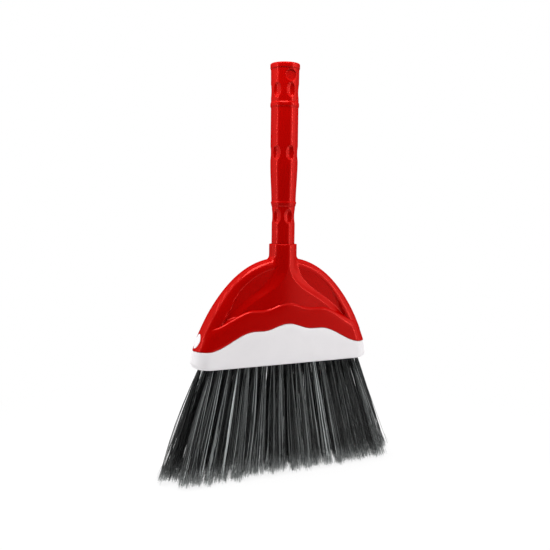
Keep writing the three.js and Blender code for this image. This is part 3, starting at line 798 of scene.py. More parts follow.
@dataclass
class Hood:
    """Fan-shaped hood with a wavy band, a rimmed arch, sunk panels, a flaring neck and a collar."""

    form: HeadForm
    panel_depth: float = 9.0
    rim_width_top: float = 9.2
    rim_width_foot: float = 11.7
    rim_round: float = 0.94
    rim_power: float = 2.5
    rim_step_top: float = 0.2
    rim_step_foot: float = 3.0
    rim_wall_slope: float = 1.5
    step_head: float = 62.0
    step_foot: float = 30.0
    neck_length: float = 61.4
    neck_reach: float = 60.0
    neck_drop: float = 33.4
    neck_side_reach: float = 30.0
    neck_side_rise: float = 32.0
    neck_blend: float = 16.0
    neck_fillet: float = 1.0
    neck_segments: int = 200
    neck_fall: float = 1.5
    neck_fall_reach: float = 48.0
    flank_width: float = 13.0
    flank_head: float = 4.0
    flank_foot: float = 36.0
    flank_end: float = 6.2
    flank_round: float = 0.12
    ledge_edge: float = 3.0
    ledge_edge_end: float = 8.0
    ledge_slope: float = 0.4
    ledge_slope_end: float = 3.0
    ledge_near: float = 42.0
    ledge_far: float = 80.0
    collar_height: float = 14.5
    collar_edge: float = 0.6
    seam_edge: float = 0.5
    socket_depth: float = 50.0
    socket_floor: float = 3.0
    bore_top_radius: float = 11.75
    bore_foot_radius: float = 10.95
    lead_in: float = 0.6  # widening of the bore at its mouth
    lead_in_drop: float = 0.5
    mouth_over: float = 0.1  # how far the cut goes on above the mouth before it runs straight
    rib_thickness: float = 2.0
    rib_height: float = 14.0
    snap_width: float = 11.0
    snap_height: float = 14.0
    snap_rise: float = 9.5
    arch_levels: int = 140
    level_curve: float = 1.6
    inner_levels: int = 14
    band_levels: int = 8
    collar_levels: int = 6
    ledge_steps: int = 8
    neck_line: np.ndarray = field(init=False)

    def __post_init__(self) -> None:
        """Samples the front edge of the neck, from the collar down to its lower end."""
        top, foot = self.form.collar_foot, self.form.collar_foot - self.neck_length
        near = self.neck_reach - self.neck_side_reach
        corners = (
            (0.0, top),
            (0.0, top - self.neck_drop),
            (near, foot + self.neck_side_rise),
            (self.neck_reach, foot),
        )
        self.neck_line = bezier(corners, np.linspace(0, 1, self.neck_segments + 1))

    def rim(self, x: np.ndarray, z: np.ndarray, inset: float) -> np.ndarray:
        """Depth of the panel, and of the rim that stands out of it towards the band.

        Args:
            x: distances from the middle.
            z: heights.
            inset: distance of the skin inside the outer one.

        Returns:
            Depths.
        """
        form = self.form
        share = smooth((self.step_head - (z - form.seam_end)) / (self.step_head - self.step_foot))
        step = mix(self.rim_step_top, self.rim_step_foot, share)
        away = distance_to(form.outline, x, z)
        width = mix(self.rim_width_top, self.rim_width_foot, share)
        outward = np.clip(1 - (away - inset) / (width * self.rim_round - inset), 0, 1)
        rim = (self.panel_depth + step - inset) * (1 - outward**self.rim_power) ** (1 / self.rim_power)
        return rim - np.minimum(step, np.maximum(0, away - width) * self.rim_wall_slope)

    def face_depth(self, x: np.ndarray, z: np.ndarray, inset: float) -> np.ndarray:
        """Distance of the front skin from the mid-plane above the band.

        Args:
            x: distances from the middle.
            z: heights.
            inset: distance of the skin inside the outer one.

        Returns:
            Depths.
        """
        form, line = self.form, self.neck_line
        base = self.rim(x, z, inset)
        drop = np.maximum(0, form.collar_foot - z)
        outside = x > np.interp(-z, -line[:, 1], line[:, 0])
        away = np.where(outside, distance_to(line, x, np.minimum(z, form.collar_foot)), 0)
        around = np.clip(away / (form.collar_radius - inset), 0, 1)
        neck = (form.collar_radius - inset) * np.sqrt(1 - around**2)
        narrowing = smooth((drop - self.flank_head) / (self.flank_foot - self.flank_head))
        flank = mix(self.flank_width, self.flank_end, narrowing)
        front = form.collar_radius - self.neck_fall * smooth(x / self.neck_fall_reach) - inset
        flat = mix(front, base, ramp(away / flank, self.flank_round))
        round_neck = filleted_max(base, neck, self.neck_fillet)
        return mix(round_neck, flat, smooth(drop / self.neck_blend))

    def ledge_end_share(self, x: np.ndarray) -> np.ndarray:
        """Share of the way to the form that the ledge has at the ends of the band."""
        return smooth((np.abs(x) - self.ledge_near) / (self.ledge_far - self.ledge_near))

    def face_loop(self, share: float, inset: float, middle_rise: float, end_rise: float) -> Loop:
        """Loop of the face at a share of the way from the collar down to its rises above the seam.

        Args:
            share: 0 at the collar, 1 at the lowest loop.
            inset: distance inside the outer skin.
            middle_rise: rise of the lowest loop above the seam in the middle.
            end_rise: the same at the ends of the band.

        Returns:
            Closed loop of points.
        """
        form = self.form
        lowest_share = form.arch_share(form.seam_end + end_rise, inset)
        top = form.arch_point(0.0, inset)
        low = form.arch_point(lowest_share, inset)
        end = form.arch_point(lowest_share * share, inset)
        s = form.shares
        end_lift = low[1] - form.seam(low[0]) - end_rise
        low_rise = mix(middle_rise, end_rise, self.ledge_end_share(low[0] * s))
        low_z = form.seam(low[0] * s) + low_rise + end_lift * s
        x = end[0] * s
        z = top[1] + (low_z - top[1]) * share
        z = z + (end[1] - top[1] - (low[1] - top[1]) * share) * s
        depth = self.face_depth(x, z, inset)
        depth[-1] = 0
        return form.mirrored(x, depth, z)

    def ledge_loop(self, angle: float) -> Loop:
        """Loop round the upper edge of the band.

        Args:
            angle: turn from the face of the band towards its ledge.

        Returns:
            Closed loop of points.
        """
        form = self.form
        lowering = 1 - math.sin(angle)
        depth = form.half_depth - self.ledge_edge * (1 - math.cos(angle))
        end_height = form.seam_end + form.band_height - self.ledge_edge_end * lowering
        half_width = form.arch_half_width(end_height)

        def height(x: np.ndarray, _: np.ndarray) -> np.ndarray:
            """Height on the rounded edge."""
            edge = mix(self.ledge_edge, self.ledge_edge_end, self.ledge_end_share(x))
            return form.seam(x) + form.band_height - edge * lowering

        loop = form.round_end_loop(half_width, depth, height)
        least = np.minimum(self.face_depth(np.abs(loop[:, 0]), loop[:, 2], 0.0), form.half_depth)
        side = np.sign(np.where(np.abs(loop[:, 1]) < 1e-9, 0, loop[:, 1]))
        loop[:, 1] = side * np.maximum(np.abs(loop[:, 1]), least)
        return loop

    def collar_loop(self, height: float, inset: float) -> Loop:
        """Loop of the round collar.

        Args:
            height: height of the loop.
            inset: distance inside the collar.

        Returns:
            Closed loop of points.
        """
        s = self.form.shares
        radius = self.form.collar_radius - inset
        return self.form.mirrored(radius * s, radius * np.sqrt(1 - s * s), np.full(len(s), height))

    def shell(self) -> bpy.types.Object:
        """Makes the closed shell, from the inner skin round the band to the collar.

        Returns:
            The shell, without socket, ribs and windows.
        """
        form = self.form
        edge, round_over = self.seam_edge, self.collar_edge
        top = form.collar_foot + self.collar_height
        inner = np.linspace(0, 1, self.inner_levels)
        loops = [self.face_loop(share, form.wall, form.ledge_rise, form.ledge_rise) for share in inner]
        loops += [form.band_loop(form.ledge_rise, form.wall), form.band_loop(form.fit_gap, form.wall)]
        for angle in np.linspace(0, math.pi / 2, EDGE_STEPS):
            rise = form.fit_gap + edge * (1 - math.cos(angle))
            loops.append(form.band_loop(rise, edge * (1 - math.sin(angle))))
        band_head = form.band_height - self.ledge_edge_end
        straight = np.linspace(form.fit_gap + edge, band_head, self.band_levels)
        loops += [form.band_loop(rise, 0.0) for rise in straight[1:-1]]
        loops += [self.ledge_loop(a) for a in np.linspace(0, math.pi / 2, self.ledge_steps)]
        outer = np.linspace(1, 0, self.arch_levels) ** self.level_curve
        foot, end_foot = form.band_height + self.ledge_slope, form.band_height + self.ledge_slope_end
        loops += [self.face_loop(share, 0.0, foot, end_foot) for share in outer]
        collar_start = form.collar_foot + form.arch_fillet
        straight = np.linspace(collar_start, top - round_over, self.collar_levels)
        loops += [self.collar_loop(height, 0.0) for height in straight[1:]]
        for angle in np.linspace(0, math.pi / 2, EDGE_STEPS)[1:]:
            height = top - round_over * (1 - math.sin(angle))
            loops.append(self.collar_loop(height, round_over * (1 - math.cos(angle))))
        return make_piece("hood_moulding", *loft(loops))

    def build(self, material: bpy.types.Material) -> bpy.types.Object:
        """Makes the hood with its socket, ribs and snap windows, and dresses it.

        Args:
            material: its finish.

        Returns:
            The piece.
        """
        form = self.form
        hood = self.shell()
        top = form.collar_foot + self.collar_height
        floor = top - self.socket_depth
        tube_radius = form.collar_radius - form.fit_gap
        tube_head = form.collar_foot + form.arch_fillet
        tube = [circle(tube_radius, z, ROUND_STEPS) for z in (floor - self.socket_floor, tube_head)]
        combine(hood, make_piece("socket_tube", *loft(tube)), Solid.JOIN)
        rib_top = floor + self.rib_height
        reach = form.arch_half_width(rib_top) - form.wall / 2
        for side in (-1, 1):
            near, far = sorted((side * self.bore_top_radius, side * reach))
            y = self.rib_thickness / 2
            plan = np.array([(near, -y), (far, -y), (far, y), (near, y)])
            rib = [np.column_stack([plan, np.full(4, z)]) for z in (floor, rib_top)]
            combine(hood, make_piece("rib", *loft(rib)), Solid.JOIN)
        mouth_radius = self.bore_top_radius + self.lead_in
        bore = (
            (self.bore_foot_radius, floor),
            (self.bore_top_radius, top - self.lead_in_drop),
            (mouth_radius, top + self.mouth_over),
            (mouth_radius, top + WELL_CLEAR),
        )
        cutter = make_piece("bore", *loft([circle(r, z, ROUND_STEPS) for r, z in bore]))
        combine(hood, cutter, Solid.CUT)
        window = form.oval_bar(self.snap_width, self.snap_height, self.snap_rise)
        combine(hood, window, Solid.CUT)
        crisp(hood)
        return settle(hood, material, Body.HEAD, "hood")


@dataclass
class BrushBlock:
    """Brush block: plate, wall up to the seam, tongue inside the hood and two oval snaps."""

    form: HeadForm
    hood: Hood
    end_chamfer: float = 5.0
    edge_bevel: float = 2.0
    plate_thickness: float = 10.0
    tongue_wall: float = 2.2
    soft_edge: float = 0.7
    bevel_steps: int = 9
    wall_levels: int = 7
    envelope_levels: int = 8

    def build(self, material: bpy.types.Material) -> bpy.types.Object:
        """Makes the block with its snaps, and dresses it.

        Args:
            material: its finish.

        Returns:
            The piece.
        """
        form = self.form
        widest = form.block_width / 2
        tongue = form.wall + form.fit_gap
        inner = tongue + self.tongue_wall
        tongue_top = form.ledge_rise - form.fit_gap
        bottom, floor = form.trim_length, form.trim_length + self.plate_thickness

        def bevel_loop(share: float) -> Loop:
            """Loop of the lower bevel, which grows into a chamfer at the ends.

            Args:
                share: way up the bevel.

            Returns:
                Closed loop of points.
            """
            rise = 1 - math.cos(share * math.pi / 2)
            out = math.sin(share * math.pi / 2)
            half_width = widest - self.end_chamfer * (1 - (share + out) / 2)
            depth = form.half_depth - self.edge_bevel * (1 - out)

            def height(_: np.ndarray, turned: np.ndarray) -> np.ndarray:
                """Height on the bevel, from the share of the turn round the end."""
                chamfer = self.end_chamfer * (share + rise) / 2
                bevel = self.edge_bevel * rise
                return bottom + bevel + (chamfer - bevel) * turned * turned

            return form.round_end_loop(half_width, depth, height)

        loops = [bevel_loop(share) for share in np.linspace(0, 1, self.bevel_steps)]
        wall_foot, wall_head = loops[-1], form.band_loop(-self.soft_edge, 0.0)
        loops += [mix(wall_foot, wall_head, share) for share in np.linspace(0, 1, self.wall_levels)[1:]]
        for angle in np.linspace(0, math.pi / 2, EDGE_STEPS)[1:]:
            rise = -self.soft_edge * (1 - math.sin(angle))
            loops.append(form.band_loop(rise, self.soft_edge * (1 - math.cos(angle))))
        loops += [form.band_loop(0.0, tongue), form.band_loop(tongue_top, tongue)]
        loops.append(form.band_loop(tongue_top, inner))
        half_width, depth = form.seam_half - inner, form.half_depth - inner
        loops.append(form.round_end_loop(half_width, depth, lambda x, _: np.full(len(x), floor)))
        block = make_piece("brush_block_moulding", *loft(loops))
        gap = 2 * form.fit_gap
        hood = self.hood
        snaps = form.oval_bar(hood.snap_width - gap, hood.snap_height - gap, hood.snap_rise)
        rises = np.linspace(0, form.band_height, self.envelope_levels)
        envelope = make_piece("envelope", *loft([form.band_loop(rise, 0.0) for rise in rises]))
        combine(snaps, envelope, Solid.COMMON)
        core = form.arch_half_width(form.seam_end + hood.snap_rise) - tongue - self.tongue_wall / 2
        reach = form.block_depth
        plan = np.array([(-core, -reach), (core, -reach), (core, reach), (-core, reach)])
        middle = [np.column_stack([plan, np.full(4, z)]) for z in (0.0, form.collar_foot)]
        combine(snaps, make_piece("middle", *loft(middle)), Solid.CUT)
        combine(block, snaps, Solid.JOIN)
        crisp(block)
        return settle(block, material, Body.HEAD, "brush_block")


@dataclass
class BristleTrim:
    """Three rows of tufts, each tuft a bundle of fine filaments with split tips."""

    form: HeadForm
    row_names: tuple[str, ...] = ("front", "middle", "back")
    tip_half_width: float = 122.75
    tip_half_depth: float = 18.75
    tuft_pitch: float = 9.1
    row_pitch: float = 8.0
    outermost: float = 86.45
    tuft_radius: float = 2.1
    tip_radius: float = 6.3
    root: float = 1.0  # start of the filaments inside the block
    lean: tuple[float, float] = (1.5, 0.9)  # scatter of whole tufts at the tips, along and across
    filaments: int = 90
    locks: int = 38  # in each tuft; a lock's filaments keep together and share random tone and painted highlight
    lock_spread: float = 0.055  # share of the radius of the tuft
    pale_rarity: float = 4.2  # the higher, the fewer locks carry the painted highlight
    lock_scatter: tuple[tuple[tuple[float, float], float], ...] = (
        ((0.9, 0.9), 0.5),  # stray at the tips: reach along and across, part that a lock shares
        ((1.1, 0.8), 0.96),  # bow in the middle
        ((1.0, 0.8), 0.96),  # curl near the tips
    )
    loose_share: float = 0.05  # filaments that have bent away from their tuft
    loose_reach: tuple[float, float] = (4.0, 1.8)  # times the stray of the others
    short: float = 2.4  # scatter of the lengths of filaments
    tuft_short: float = 3.0  # most that a whole tuft is shorter
    end_short: float = 3.0  # most that filaments at the two ends are shorter
    end_start: float = 104.0  # tips further out than this are at an end
    end_run: float = 24.0
    end_range: tuple[float, float] = (0.2, 1.0)
    diameter: float = 0.46  # true filaments are about 0.3 mm, drawn thicker so that they show
    thickness_range: tuple[float, float] = (0.85, 1.15)
    taper: float = 0.6  # part of the thickness that the split takes off at the tip
    taper_start: float = 0.7  # share of the length
    rings: int = 7
    sides: int = 4
    flags: int = 2  # hairs split off each filament
    flag_length: float = 14.0
    flag_sides: int = 3
    flag_reach: tuple[float, float, float] = (1.5, 1.2, 0.0)
    flag_rise: tuple[float, float] = (-0.8, 2.4)  # its tip above that of its filament
    flag_wave: float = 0.25
    flag_radii: tuple[float, ...] = (0.5, 0.42, 0.16)  # over the radius of the filament, root to tip
    tip_gap: float = 0.05  # the lowest hairs above the floor
    seed: int = 23

    def places(self, index: int) -> np.ndarray:
        """Places of the tufts along a row: the outer rows lack the tuft at each round end.

        Args:
            index: which row.

        Returns:
            Distances from the middle.
        """
        last = self.outermost if index % 2 else self.outermost - self.tuft_pitch
        right = np.arange(self.tuft_pitch / 2, last + self.tuft_pitch / 2, self.tuft_pitch)
        return np.concatenate([-right[::-1], right])

    @staticmethod
    def tubes(paths: np.ndarray, radii: np.ndarray, sides: int) -> tuple[np.ndarray, list[Face]]:
        """Closed thin tubes along many paths at once.

        Args:
            paths: points of each path, shaped (tubes, rings, 3).
            radii: radius at each ring, shaped (tubes, rings).
            sides: corners of the section.

        Returns:
            Points and faces.
        """
        count, rings, _ = paths.shape
        turn = np.arange(sides) * 2 * math.pi / sides
        section = np.column_stack([np.cos(turn), np.sin(turn), np.zeros(sides)])
        points = paths[:, :, None, :] + radii[:, :, None, None] * section
        corner = np.arange(count * rings * sides).reshape(count, rings, sides)
        after = np.roll(corner, -1, axis=2)
        walls = np.stack([corner[:, 1:], after[:, 1:], after[:, :-1], corner[:, :-1]], axis=-1)
        ends = np.concatenate([corner[:, 0], corner[:, -1][:, ::-1]])
        faces = [tuple(f) for f in walls.reshape(-1, 4).tolist()]
        return points.reshape(-1, 3), faces + [tuple(f) for f in ends.tolist()]

    @staticmethod
    def sway(rng: np.random.Generator, locks: int, lock: np.ndarray, share: float) -> np.ndarray:
        """Scatter of the filaments, part of it shared by the filaments of a lock.

        Args:
            rng: seeded source of the scatter.
            locks: how many locks there are.
            lock: which lock each filament is in.
            share: part that the filaments of a lock share.

        Returns:
            Two normal deviates for each filament.
        """
        shared, own = rng.normal(0, 1, (locks, 2))[lock], rng.normal(0, 1, (len(lock), 2))
        return share * shared + (1 - share**2) ** 0.5 * own

    def filament_paths(self, index: int, rng: np.random.Generator) -> tuple[np.ndarray, np.ndarray]:
        """Paths of all filaments of a row, from the block down to the tips, and their shades.

        Args:
            index: which row.
            rng: seeded source of the scatter.

        Returns:
            Points shaped (filaments, rings, 3), and how pale each filament is painted, partly random tone and
            partly a painted highlight.
        """
        tuft_x = np.repeat(self.places(index), self.filaments)
        tuft_y = self.row_pitch * (index - 1)
        count = len(tuft_x)
        tufts = count // self.filaments
        locks = tufts * self.locks
        lock = np.repeat(np.arange(tufts), self.filaments) * self.locks
        lock = lock + rng.integers(0, self.locks, count)
        turn = rng.uniform(0, 2 * math.pi, locks)
        middle = np.column_stack([np.cos(turn), np.sin(turn)]) * np.sqrt(rng.uniform(0, 1, (locks, 1)))
        spread = middle[lock] + rng.normal(0, self.lock_spread, (count, 2))
        scale_x = self.tip_half_width / self.outermost
        scale_y = self.tip_half_depth / self.row_pitch
        lean = np.repeat(rng.normal(0, 1, (tufts, 2)) * self.lean, self.filaments, axis=0)
        tip = np.column_stack([tuft_x * scale_x, np.full(count, tuft_y * scale_y)]) + lean
        tip_height = np.abs(rng.normal(0, self.short, count))
        tip_height += np.repeat(rng.uniform(0, self.tuft_short, tufts), self.filaments)
        at_end = smooth((np.abs(tip[:, 0]) - self.end_start) / self.end_run)
        tip_height += self.end_short * at_end * rng.uniform(*self.end_range, count)
        root = np.full(count, self.form.trim_length + self.root)
        start = np.column_stack([tuft_x, np.full(count, tuft_y), root])
        end = np.column_stack([tip, tip_height])
        away = np.column_stack([spread, np.zeros(count)])
        stray, bow, curl = (
            np.column_stack([self.sway(rng, locks, lock, share) * reach, np.zeros(count)])
            for reach, share in self.lock_scatter
        )
        loose = rng.uniform(0, 1, (count, 1)) < self.loose_share
        stray[:, :2] *= np.where(loose, self.loose_reach, 1.0)
        u = np.linspace(0, 1, self.rings)[None, :, None]
        opened = mix(self.tuft_radius, self.tip_radius, u)
        paths = start[:, None] + (end - start)[:, None] * u
        paths = paths + away[:, None] * opened + stray[:, None] * u**2
        paths = paths + bow[:, None] * np.sin(math.pi * u) + curl[:, None] * (u**4 - u**2)
        return paths, rng.uniform(0, 1, locks)[lock] ** self.pale_rarity

    def build_row(self, index: int, material: bpy.types.Material) -> bpy.types.Object:
        """Makes one row of tufts and dresses it.

        Args:
            index: which row.
            material: its finish.

        Returns:
            The row.
        """
        rng = np.random.default_rng(self.seed + index)
        paths, shade = self.filament_paths(index, rng)
        count = len(paths)
        u = np.linspace(0, 1, self.rings)
        taper = 1 - self.taper * smooth((u - self.taper_start) / (1 - self.taper_start))
        thick = rng.uniform(*self.thickness_range, count)[:, None] * self.diameter / 2
        points, faces = self.tubes(paths, thick * taper, self.sides)
        shades = [np.repeat(shade, len(points) // count)]
        start_share = 1 - self.flag_length / self.form.trim_length
        last_share = 1 - (1 - start_share) * (self.rings - 1)
        split = mix(paths[:, -2], paths[:, -1], last_share)
        v = np.linspace(0, 1, len(self.flag_radii))[None, :, None]
        for _ in range(self.flags):
            end = paths[:, -1] + rng.normal(0, 1, (count, 3)) * self.flag_reach
            end[:, 2] = np.maximum(self.tip_gap, end[:, 2] + rng.uniform(*self.flag_rise, count))
            hair = split[:, None] + (end - split)[:, None] * v
            hair[:, 1] += rng.normal(0, self.flag_wave, (count, 3))
            more, more_faces = self.tubes(hair, thick * np.array(self.flag_radii), self.flag_sides)
            faces += [tuple(c + len(points) for c in f) for f in more_faces]
            points = np.vstack([points, more])
            shades.append(np.repeat(shade, len(more) // count))
        name = self.row_names[index]
        row = make_piece(f"tuft_row_{name}_filaments", points, faces)
        # paleness of each lock, random tone and painted highlight, for the filament finish
        marks = row.data.attributes.new(LOCK_TONE_AND_SHEEN, "FLOAT", "POINT")
        marks.data.foreach_set("value", np.concatenate(shades))
        row.data.shade_smooth()
        return settle(row, material, Body.HEAD, f"tuft_row_{name}")

    def build(self, material: bpy.types.Material) -> list[bpy.types.Object]:
        """Makes all rows, dressed in one finish."""
        return [self.build_row(index, material) for index in range(len(self.row_names))]


@dataclass
class Handle:
    """Hollow handle with a tapered spigot, two soft rings, three rows of dimples and a round recess."""

    form: HeadForm
    collar_top: float = 227.9
    length: float = 170.0
    socket_depth: float = 50.0
    spigot_radius: float = 11.45
    spigot_taper: float = 0.8
    grip_radius: float = 13.5
    grip_start: float = 80.0
    head_radius: float = 13.9
    bore_radius: float = 8.5
    ring_proud: float = 0.6
    ring_height: float = 6.0
    ring_slope: float = 0.6  # share of half a ring's height that slopes
    lower_ring: float = 39.4
    upper_ring: float = 34.6
    dimples_around: int = 6
    dimple_width: float = 8.4
    dimple_height: float = 14.0
    dimple_depth: float = 1.0
    dimple_fillet: float = 0.18
    lower_dimples: float = 27.4
    middle_dimples: float = 89.0
    upper_dimples: float = 21.2
    recess_radius: float = 5.0
    recess_drop: float = 6.9
    recess_depth: float = 1.5
    recess_rim: float = 0.9  # width of the softened rim round the recess
    recess_steps: int = 64
    soft_edge: float = 0.5
    end_edge: float = 0.02
    corner_in: float = 0.3  # point of a rounded corner, as shares of its width and height
    corner_up: float = 0.7
    around: int = 216
    coarse_step: float = 3.0  # between the loops of plain lengths
    fine_step: float = 0.45  # between the loops of rings, dimples and the recess
    least_step: float = 0.12

    @property
    def lip(self) -> float:
        """Height of the lip of the end cap."""
        return self.collar_top + self.length

    @property
    def recess_height(self) -> float:
        """Height of the round recess."""
        return self.lip - self.recess_drop

    def plain_radius(self, z: np.ndarray) -> np.ndarray:
        """Outer radius with the rings and without the dimples.

        Args:
            z: heights.

        Returns:
            Radii.
        """
        low_ring, high_ring = self.collar_top + self.lower_ring, self.lip - self.upper_ring
        inserted = np.clip(self.collar_top - z, 0, None)
        below = self.spigot_radius - self.spigot_taper * inserted / self.socket_depth
        swell = smooth((z - low_ring) / (self.grip_start - self.lower_ring))
        grip = self.spigot_radius + self.ring_proud
        grip = grip + (self.grip_radius - grip) * swell
        head = (z - high_ring) / (self.lip - high_ring)
        head = self.grip_radius + (self.head_radius - self.grip_radius) * np.clip(head, 0, 1)
        step = smooth((z - low_ring) / (self.ring_height / 2) + 0.5)
        radius = np.where(z >= high_ring, head, below + (grip - below) * step)
        for ring in (low_ring, high_ring):
            away = np.abs(z - ring) / (self.ring_height / 2)
            radius = radius + self.ring_proud * smooth((1 - away) / self.ring_slope)
        return radius

    def dimpled_loop(self, height: float, radius: float) -> Loop:
        """Loop of the outer skin, sunk where the dimples and the rim of the recess are.

        Each dimple is the end of an ellipsoid. Half the depth of that is twice the depth of the dimple, so
        the mouth lies where the share of the ellipsoid is a quarter.

        Args:
            height: height of the loop.
            radius: radius of the plain skin there.

        Returns:
            Closed loop of points.
        """
        turn = np.arange(self.around) * 2 * math.pi / self.around
        skin = np.full(self.around, radius)
        across = self.dimple_width / 2
        mouth_share = 0.25
        ellipsoid_half = across / math.sqrt(1 - mouth_share)
        levels = (
            self.collar_top + self.lower_dimples,
            self.collar_top + self.middle_dimples,
            self.lip - self.upper_dimples,
        )
        for level in levels:
            rise = (height - level) / (self.dimple_height / 2)
            if abs(rise) >= 1:
                continue
            mouth = math.sqrt(float(self.plain_radius(np.array(level))) ** 2 - across**2)
            for i in range(self.dimples_around):
                aside = (turn - i * 2 * math.pi / self.dimples_around + math.pi) % (2 * math.pi) - math.pi
                share = 1 - (radius * np.sin(aside) / ellipsoid_half) ** 2 - rise**2
                share = np.where(np.abs(aside) < math.pi / 4, share, 0)
                sunk = 2 * self.dimple_depth * np.sqrt(np.clip(share, 0, 1))
                bowl = mouth + self.dimple_depth - sunk
                bowl = np.where(share > 0, bowl / np.cos(np.clip(aside, -1, 1)), radius + WELL_CLEAR)
                skin = -filleted_max(-skin, -bowl, self.dimple_fillet)
        from_middle = np.hypot(skin * np.sin(turn), height - self.recess_height)
        rim = self.recess_rim
        skin = skin - self.soft_edge * smooth((self.recess_radius + rim - from_middle) / rim)
        return circle(skin, height, self.around)

    def heights(self) -> np.ndarray:
        """Heights of the loops: close together where rings, dimples and the recess are.

        Returns:
            Rising heights.
        """
        bottom = self.collar_top - self.socket_depth + self.form.fit_gap + self.soft_edge
        top = self.lip - self.form.fit_gap - self.soft_edge
        fine = [
            (self.collar_top + self.lower_dimples, self.dimple_height / 2 + 1),
            (self.collar_top + self.lower_ring, self.ring_height / 2 + 1),
            (self.collar_top + self.middle_dimples, self.dimple_height / 2 + 1),
            (self.lip - self.upper_ring, self.ring_height / 2 + 1),
            (self.lip - self.upper_dimples, self.dimple_height / 2 + 1),
            (self.recess_height, self.recess_radius + 2),
        ]
        levels = [np.arange(bottom, top, self.coarse_step), np.array([self.collar_top, top])]
        levels += [np.arange(middle - half, middle + half, self.fine_step) for middle, half in fine]
        merged = np.unique(np.round(np.concatenate(levels), 3))
        merged = merged[(merged >= bottom) & (merged <= top)]
        keep = np.concatenate([[True], np.diff(merged) > self.least_step])
        return merged[keep]

    def build(self, material: bpy.types.Material) -> bpy.types.Object:
        """Makes the handle and dresses it.

        Args:
            material: its finish.

        Returns:
            The piece.
        """
        levels = self.heights()
        radii = self.plain_radius(levels)
        edge = self.soft_edge
        loops = [circle(self.bore_radius, levels[0] - edge, self.around)]
        loops.append(circle(radii[0] - edge, levels[0] - edge, self.around))
        loops += [self.dimpled_loop(z, r) for z, r in zip(levels, radii)]
        corner_radius = radii[-1] - self.end_edge * self.corner_in
        loops.append(circle(corner_radius, levels[-1] + edge * self.corner_up, self.around))
        loops.append(circle(radii[-1] - self.end_edge, levels[-1] + edge, self.around))
        loops.append(circle(self.bore_radius, levels[-1] + edge, self.around))
        handle = make_piece("handle_tube", *loft(loops, ring=True))
        for side in (-1, 1):
            combine(handle, self.recess_slug(side), Solid.CUT)
        crisp(handle)
        return settle(handle, material, Body.HANDLE, "handle")

    def recess_slug(self, side: int) -> bpy.types.Object:
        """Round slug that leaves the recess in the handle.

        Args:
            side: -1 for the front, 1 for the back.

        Returns:
            The slug, to cut with.
        """
        steps = self.recess_steps
        turn = np.arange(steps) * 2 * math.pi / steps
        x = self.recess_radius * np.cos(turn)
        z = self.recess_height + self.recess_radius * np.sin(turn)
        floor = float(self.plain_radius(np.array(self.recess_height))) - self.recess_depth
        ends = sorted((side * floor, side * 2 * floor), reverse=True)
        return make_piece("recess_slug", *loft([np.column_stack([x, np.full(steps, y), z]) for y in ends]))


@dataclass
class EndCap:
    """End cap: a lip on top of the handle, with a plug in its bore."""

    handle: Handle
    lip_radius: float = 14.5
    lip_height: float = 5.0
    edge: float = 1.2
    under_edge: float = 0.6
    under_rise: float = 1.3
    seat_gap: float = 0.02
    plug_length: float = 18.0
    plug_edge: float = 0.6
    inner_share: float = 0.5  # radius of the last loop on the flat top over that of the lip
    under_steps: int = 6
    edge_steps: int = 8
    around: int = 144

    def build(self, material: bpy.types.Material) -> bpy.types.Object:
        """Makes the cap and dresses it.

        Args:
            material: its finish.

        Returns:
            The piece.
        """
        lip, plug = self.handle.lip, self.handle.bore_radius - self.handle.form.fit_gap
        top = lip + self.lip_height
        seat = lip - self.handle.form.fit_gap + self.seat_gap
        plug_foot = lip - self.plug_length
        profile = [(plug - self.plug_edge, plug_foot), (plug, plug_foot + self.plug_edge), (plug, seat)]
        low, rise = self.under_edge, self.under_rise
        for angle in np.linspace(-math.pi / 2, 0, self.under_steps):
            radius = self.lip_radius - low + low * math.cos(angle)
            profile.append((radius, seat + rise + rise * math.sin(angle)))
        for angle in np.linspace(0, math.pi / 2, self.edge_steps):
            out, up = self.edge * math.cos(angle), self.edge * math.sin(angle)
            profile.append((self.lip_radius - self.edge + out, top - self.edge + up))
        profile.append((self.lip_radius * self.inner_share, top))
        cap = make_piece("end_cap_moulding", *loft([circle(r, z, self.around) for r, z in profile]))
        crisp(cap)
        return settle(cap, material, Body.HANDLE, "handle_end_cap")


@dataclass
class Viewpoint:
    """Camera at the photograph's viewing angle."""

    azimuth: float = math.radians(-25.5)
    elevation: float = math.radians(5.263)
    roll: float = math.radians(0.686)
    distance: float = 717.6
    focal: float = 717.6  # pixels
    aside: float = -7.522  # point looked at, to the right of the handle axis
    height: float = 196.6
    sensor: float = 36.0
    clip_start: float = 10.0

    def toward(self, azimuth: float, elevation: float) -> Vector:
        """Direction from the broom to a place round it.

        Args:
            azimuth: turn to the right of the camera's own heading.
            elevation: angle above the level.

        Returns:
            Unit vector.
        """
        turn = self.azimuth + azimuth
        flat = math.cos(elevation)
        return Vector((math.sin(turn) * flat, -math.cos(turn) * flat, math.sin(elevation)))

    def target(self) -> Vector:
        """Point that the camera looks at, in metres."""
        turn = self.azimuth
        return Vector((self.aside * math.cos(turn), self.aside * math.sin(turn), self.height)) * MM

    def build(self) -> bpy.types.Object:
        """Makes the camera and hands it to the scene.

        Returns:
            The camera.
        """
        back = self.toward(0.0, self.elevation)
        right = (-back).cross(Vector((0, 0, 1))).normalized()
        up = right.cross(-back)
        across = math.cos(self.roll) * right + math.sin(self.roll) * up
        upward = math.cos(self.roll) * up - math.sin(self.roll) * right
        place = self.target() + self.distance * MM * back
        data = bpy.data.cameras.new("camera")
        data.sensor_width = self.sensor
        data.lens = self.focal / PHOTO_WIDTH * self.sensor
        data.clip_start = self.clip_start * MM
        camera = bpy.data.objects.new("camera", data)
        columns = (across, upward, back, place)
        rows = [[column[i] for column in columns] for i in range(3)]
        camera.matrix_world = Matrix([*rows, (0, 0, 0, 1)])
        bpy.context.scene.collection.objects.link(camera)
        bpy.context.scene.camera = camera
        return camera


